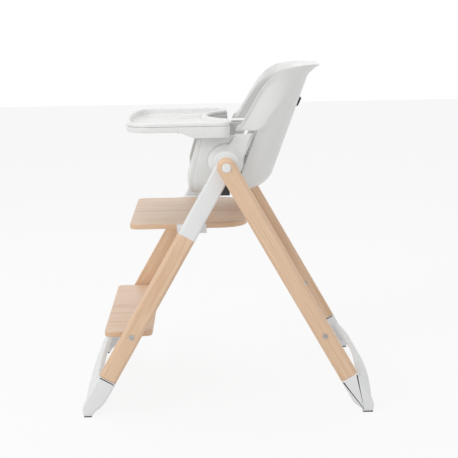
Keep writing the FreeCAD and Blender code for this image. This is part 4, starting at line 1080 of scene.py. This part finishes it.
class CHAIR_OT_stage(bpy.types.Operator):
    """Camera, pale floor, soft lamps and world"""

    bl_idname = "chair.stage"
    bl_label = "Stage"

    def execute(self, context):
        scene = context.scene
        yaw, pitch, roll = 0.018, 0.202, -0.017
        level = Vector((-math.cos(yaw), math.sin(yaw), 0))
        ahead = level * math.cos(pitch) + Vector((0, 0, -math.sin(pitch)))
        right = Vector((math.sin(yaw), math.cos(yaw), 0))
        up = right.cross(ahead)
        x = right * math.cos(roll) + up * math.sin(roll)
        y = -right * math.sin(roll) + up * math.cos(roll)
        data = bpy.data.cameras.new("Camera")
        data.lens, data.sensor_width, data.clip_end = 84.76, 36.0, 50.0
        camera = bpy.data.objects.new("Camera", data)
        camera.matrix_world = Matrix.Translation((2.9, -0.0435, 1.0234)) @ Matrix(
            (x, y, -ahead)).transposed().to_4x4()
        scene.collection.objects.link(camera)
        scene.camera = camera

        mesh = bpy.data.meshes.new("floor")
        mesh.from_pydata([(-9, -9, 0), (9, -9, 0), (9, 9, 0), (-9, 9, 0)], [], [(0, 1, 2, 3)])
        floor = bpy.data.objects.new("floor", mesh)
        scene.collection.objects.link(floor)
        n = Nodes("Pale floor")
        n.put(n.shader, "Base Color", (0.82, 0.82, 0.82, 1))
        n.put(n.shader, "Roughness", 0.9)
        path = n.add("LightPath")
        seen = n.math("MAXIMUM", path.outputs["Is Camera Ray"], path.outputs["Is Glossy Ray"])
        seen = n.math("MAXIMUM", seen, path.outputs["Is Transmission Ray"])
        glow = n.add("Emission", Color=(1, 1, 1, 1), Strength=1.0)
        mix = n.tree.nodes.new("ShaderNodeMixShader")
        n.put(mix, "#0", n.math("MULTIPLY", seen, 0.86))
        n.put(mix, "#1", n.shader.outputs[0])
        n.put(mix, "#2", glow.outputs[0])
        n.tree.links.new(mix.outputs[0], n.tree.nodes["Material Output"].inputs["Surface"])
        mesh.materials.append(n.material)

        world = bpy.data.worlds.new("Soft room")
        world.use_nodes = True
        tree = world.node_tree
        path = tree.nodes.new("ShaderNodeLightPath")
        background = tree.nodes["Background"]
        background.inputs["Color"].default_value = (1, 1, 1, 1)
        seen = None
        for ray in ("Is Camera Ray", "Is Glossy Ray", "Is Transmission Ray"):
            if seen is None:
                seen = path.outputs[ray]
                continue
            either = tree.nodes.new("ShaderNodeMath")
            either.operation = "MAXIMUM"
            tree.links.new(seen, either.inputs[0])
            tree.links.new(path.outputs[ray], either.inputs[1])
            seen = either.outputs[0]
        spread = tree.nodes.new("ShaderNodeMapRange")
        spread.inputs["To Min"].default_value = 0.55
        spread.inputs["To Max"].default_value = 1.0
        tree.links.new(seen, spread.inputs["Value"])
        tree.links.new(spread.outputs[0], background.inputs["Strength"])
        scene.world = world

        lamps = (("Key", (2.2, -2.4, 2.6), 2.4, 48.0), ("Fill", (2.6, 2.2, 1.6), 2.2, 12.0),
                 ("Top", (-1.0, -0.4, 3.2), 2.4, 22.0))
        for name, place, size, power in lamps:
            light = bpy.data.lights.new(name, "AREA")
            light.shape, light.size, light.energy = "DISK", size, power
            lamp = bpy.data.objects.new(name, light)
            lamp.location = place
            aim = Vector((0, 0, 0.5)) - Vector(place)
            lamp.rotation_euler = aim.to_track_quat("-Z", "Y").to_euler()
            scene.collection.objects.link(lamp)
        scene.view_settings.view_transform = "Standard"
        return {"FINISHED"}


OPERATORS = (CHAIR_OT_finishes, CHAIR_OT_feet, CHAIR_OT_arms, CHAIR_OT_boards, CHAIR_OT_tub, CHAIR_OT_back,
             CHAIR_OT_carriers, CHAIR_OT_tray, CHAIR_OT_latch, CHAIR_OT_pads, CHAIR_OT_harness, CHAIR_OT_stage)


class CHAIR_PT_panel(bpy.types.Panel):
    """Lists the chair's sizes, colours and makers"""

    bl_idname = "CHAIR_PT_panel"
    bl_label = "High Chair"
    bl_space_type = "VIEW_3D"
    bl_region_type = "UI"
    bl_category = "High Chair"

    def draw(self, context):
        for group in (context.scene.chair_sizes, context.scene.chair_colours):
            box = self.layout.box()
            for key in group.bl_rna.properties.keys():
                if key not in ("rna_type", "name"):
                    box.prop(group, key)
        for operator in OPERATORS:
            self.layout.operator(operator.bl_idname)


CLASSES = (ChairSizes, ChairColours, *OPERATORS, CHAIR_PT_panel)


def register():
    for one in CLASSES:
        bpy.utils.register_class(one)
    bpy.types.Scene.chair_sizes = bpy.props.PointerProperty(type=ChairSizes)
    bpy.types.Scene.chair_colours = bpy.props.PointerProperty(type=ChairColours)


def unregister():
    del bpy.types.Scene.chair_colours
    del bpy.types.Scene.chair_sizes
    for one in reversed(CLASSES):
        bpy.utils.unregister_class(one)


def main():
    register()
    for operator in OPERATORS:
        group, name = operator.bl_idname.split(".")
        getattr(getattr(bpy.ops, group), name)()


if __name__ == "__main__":
    main()
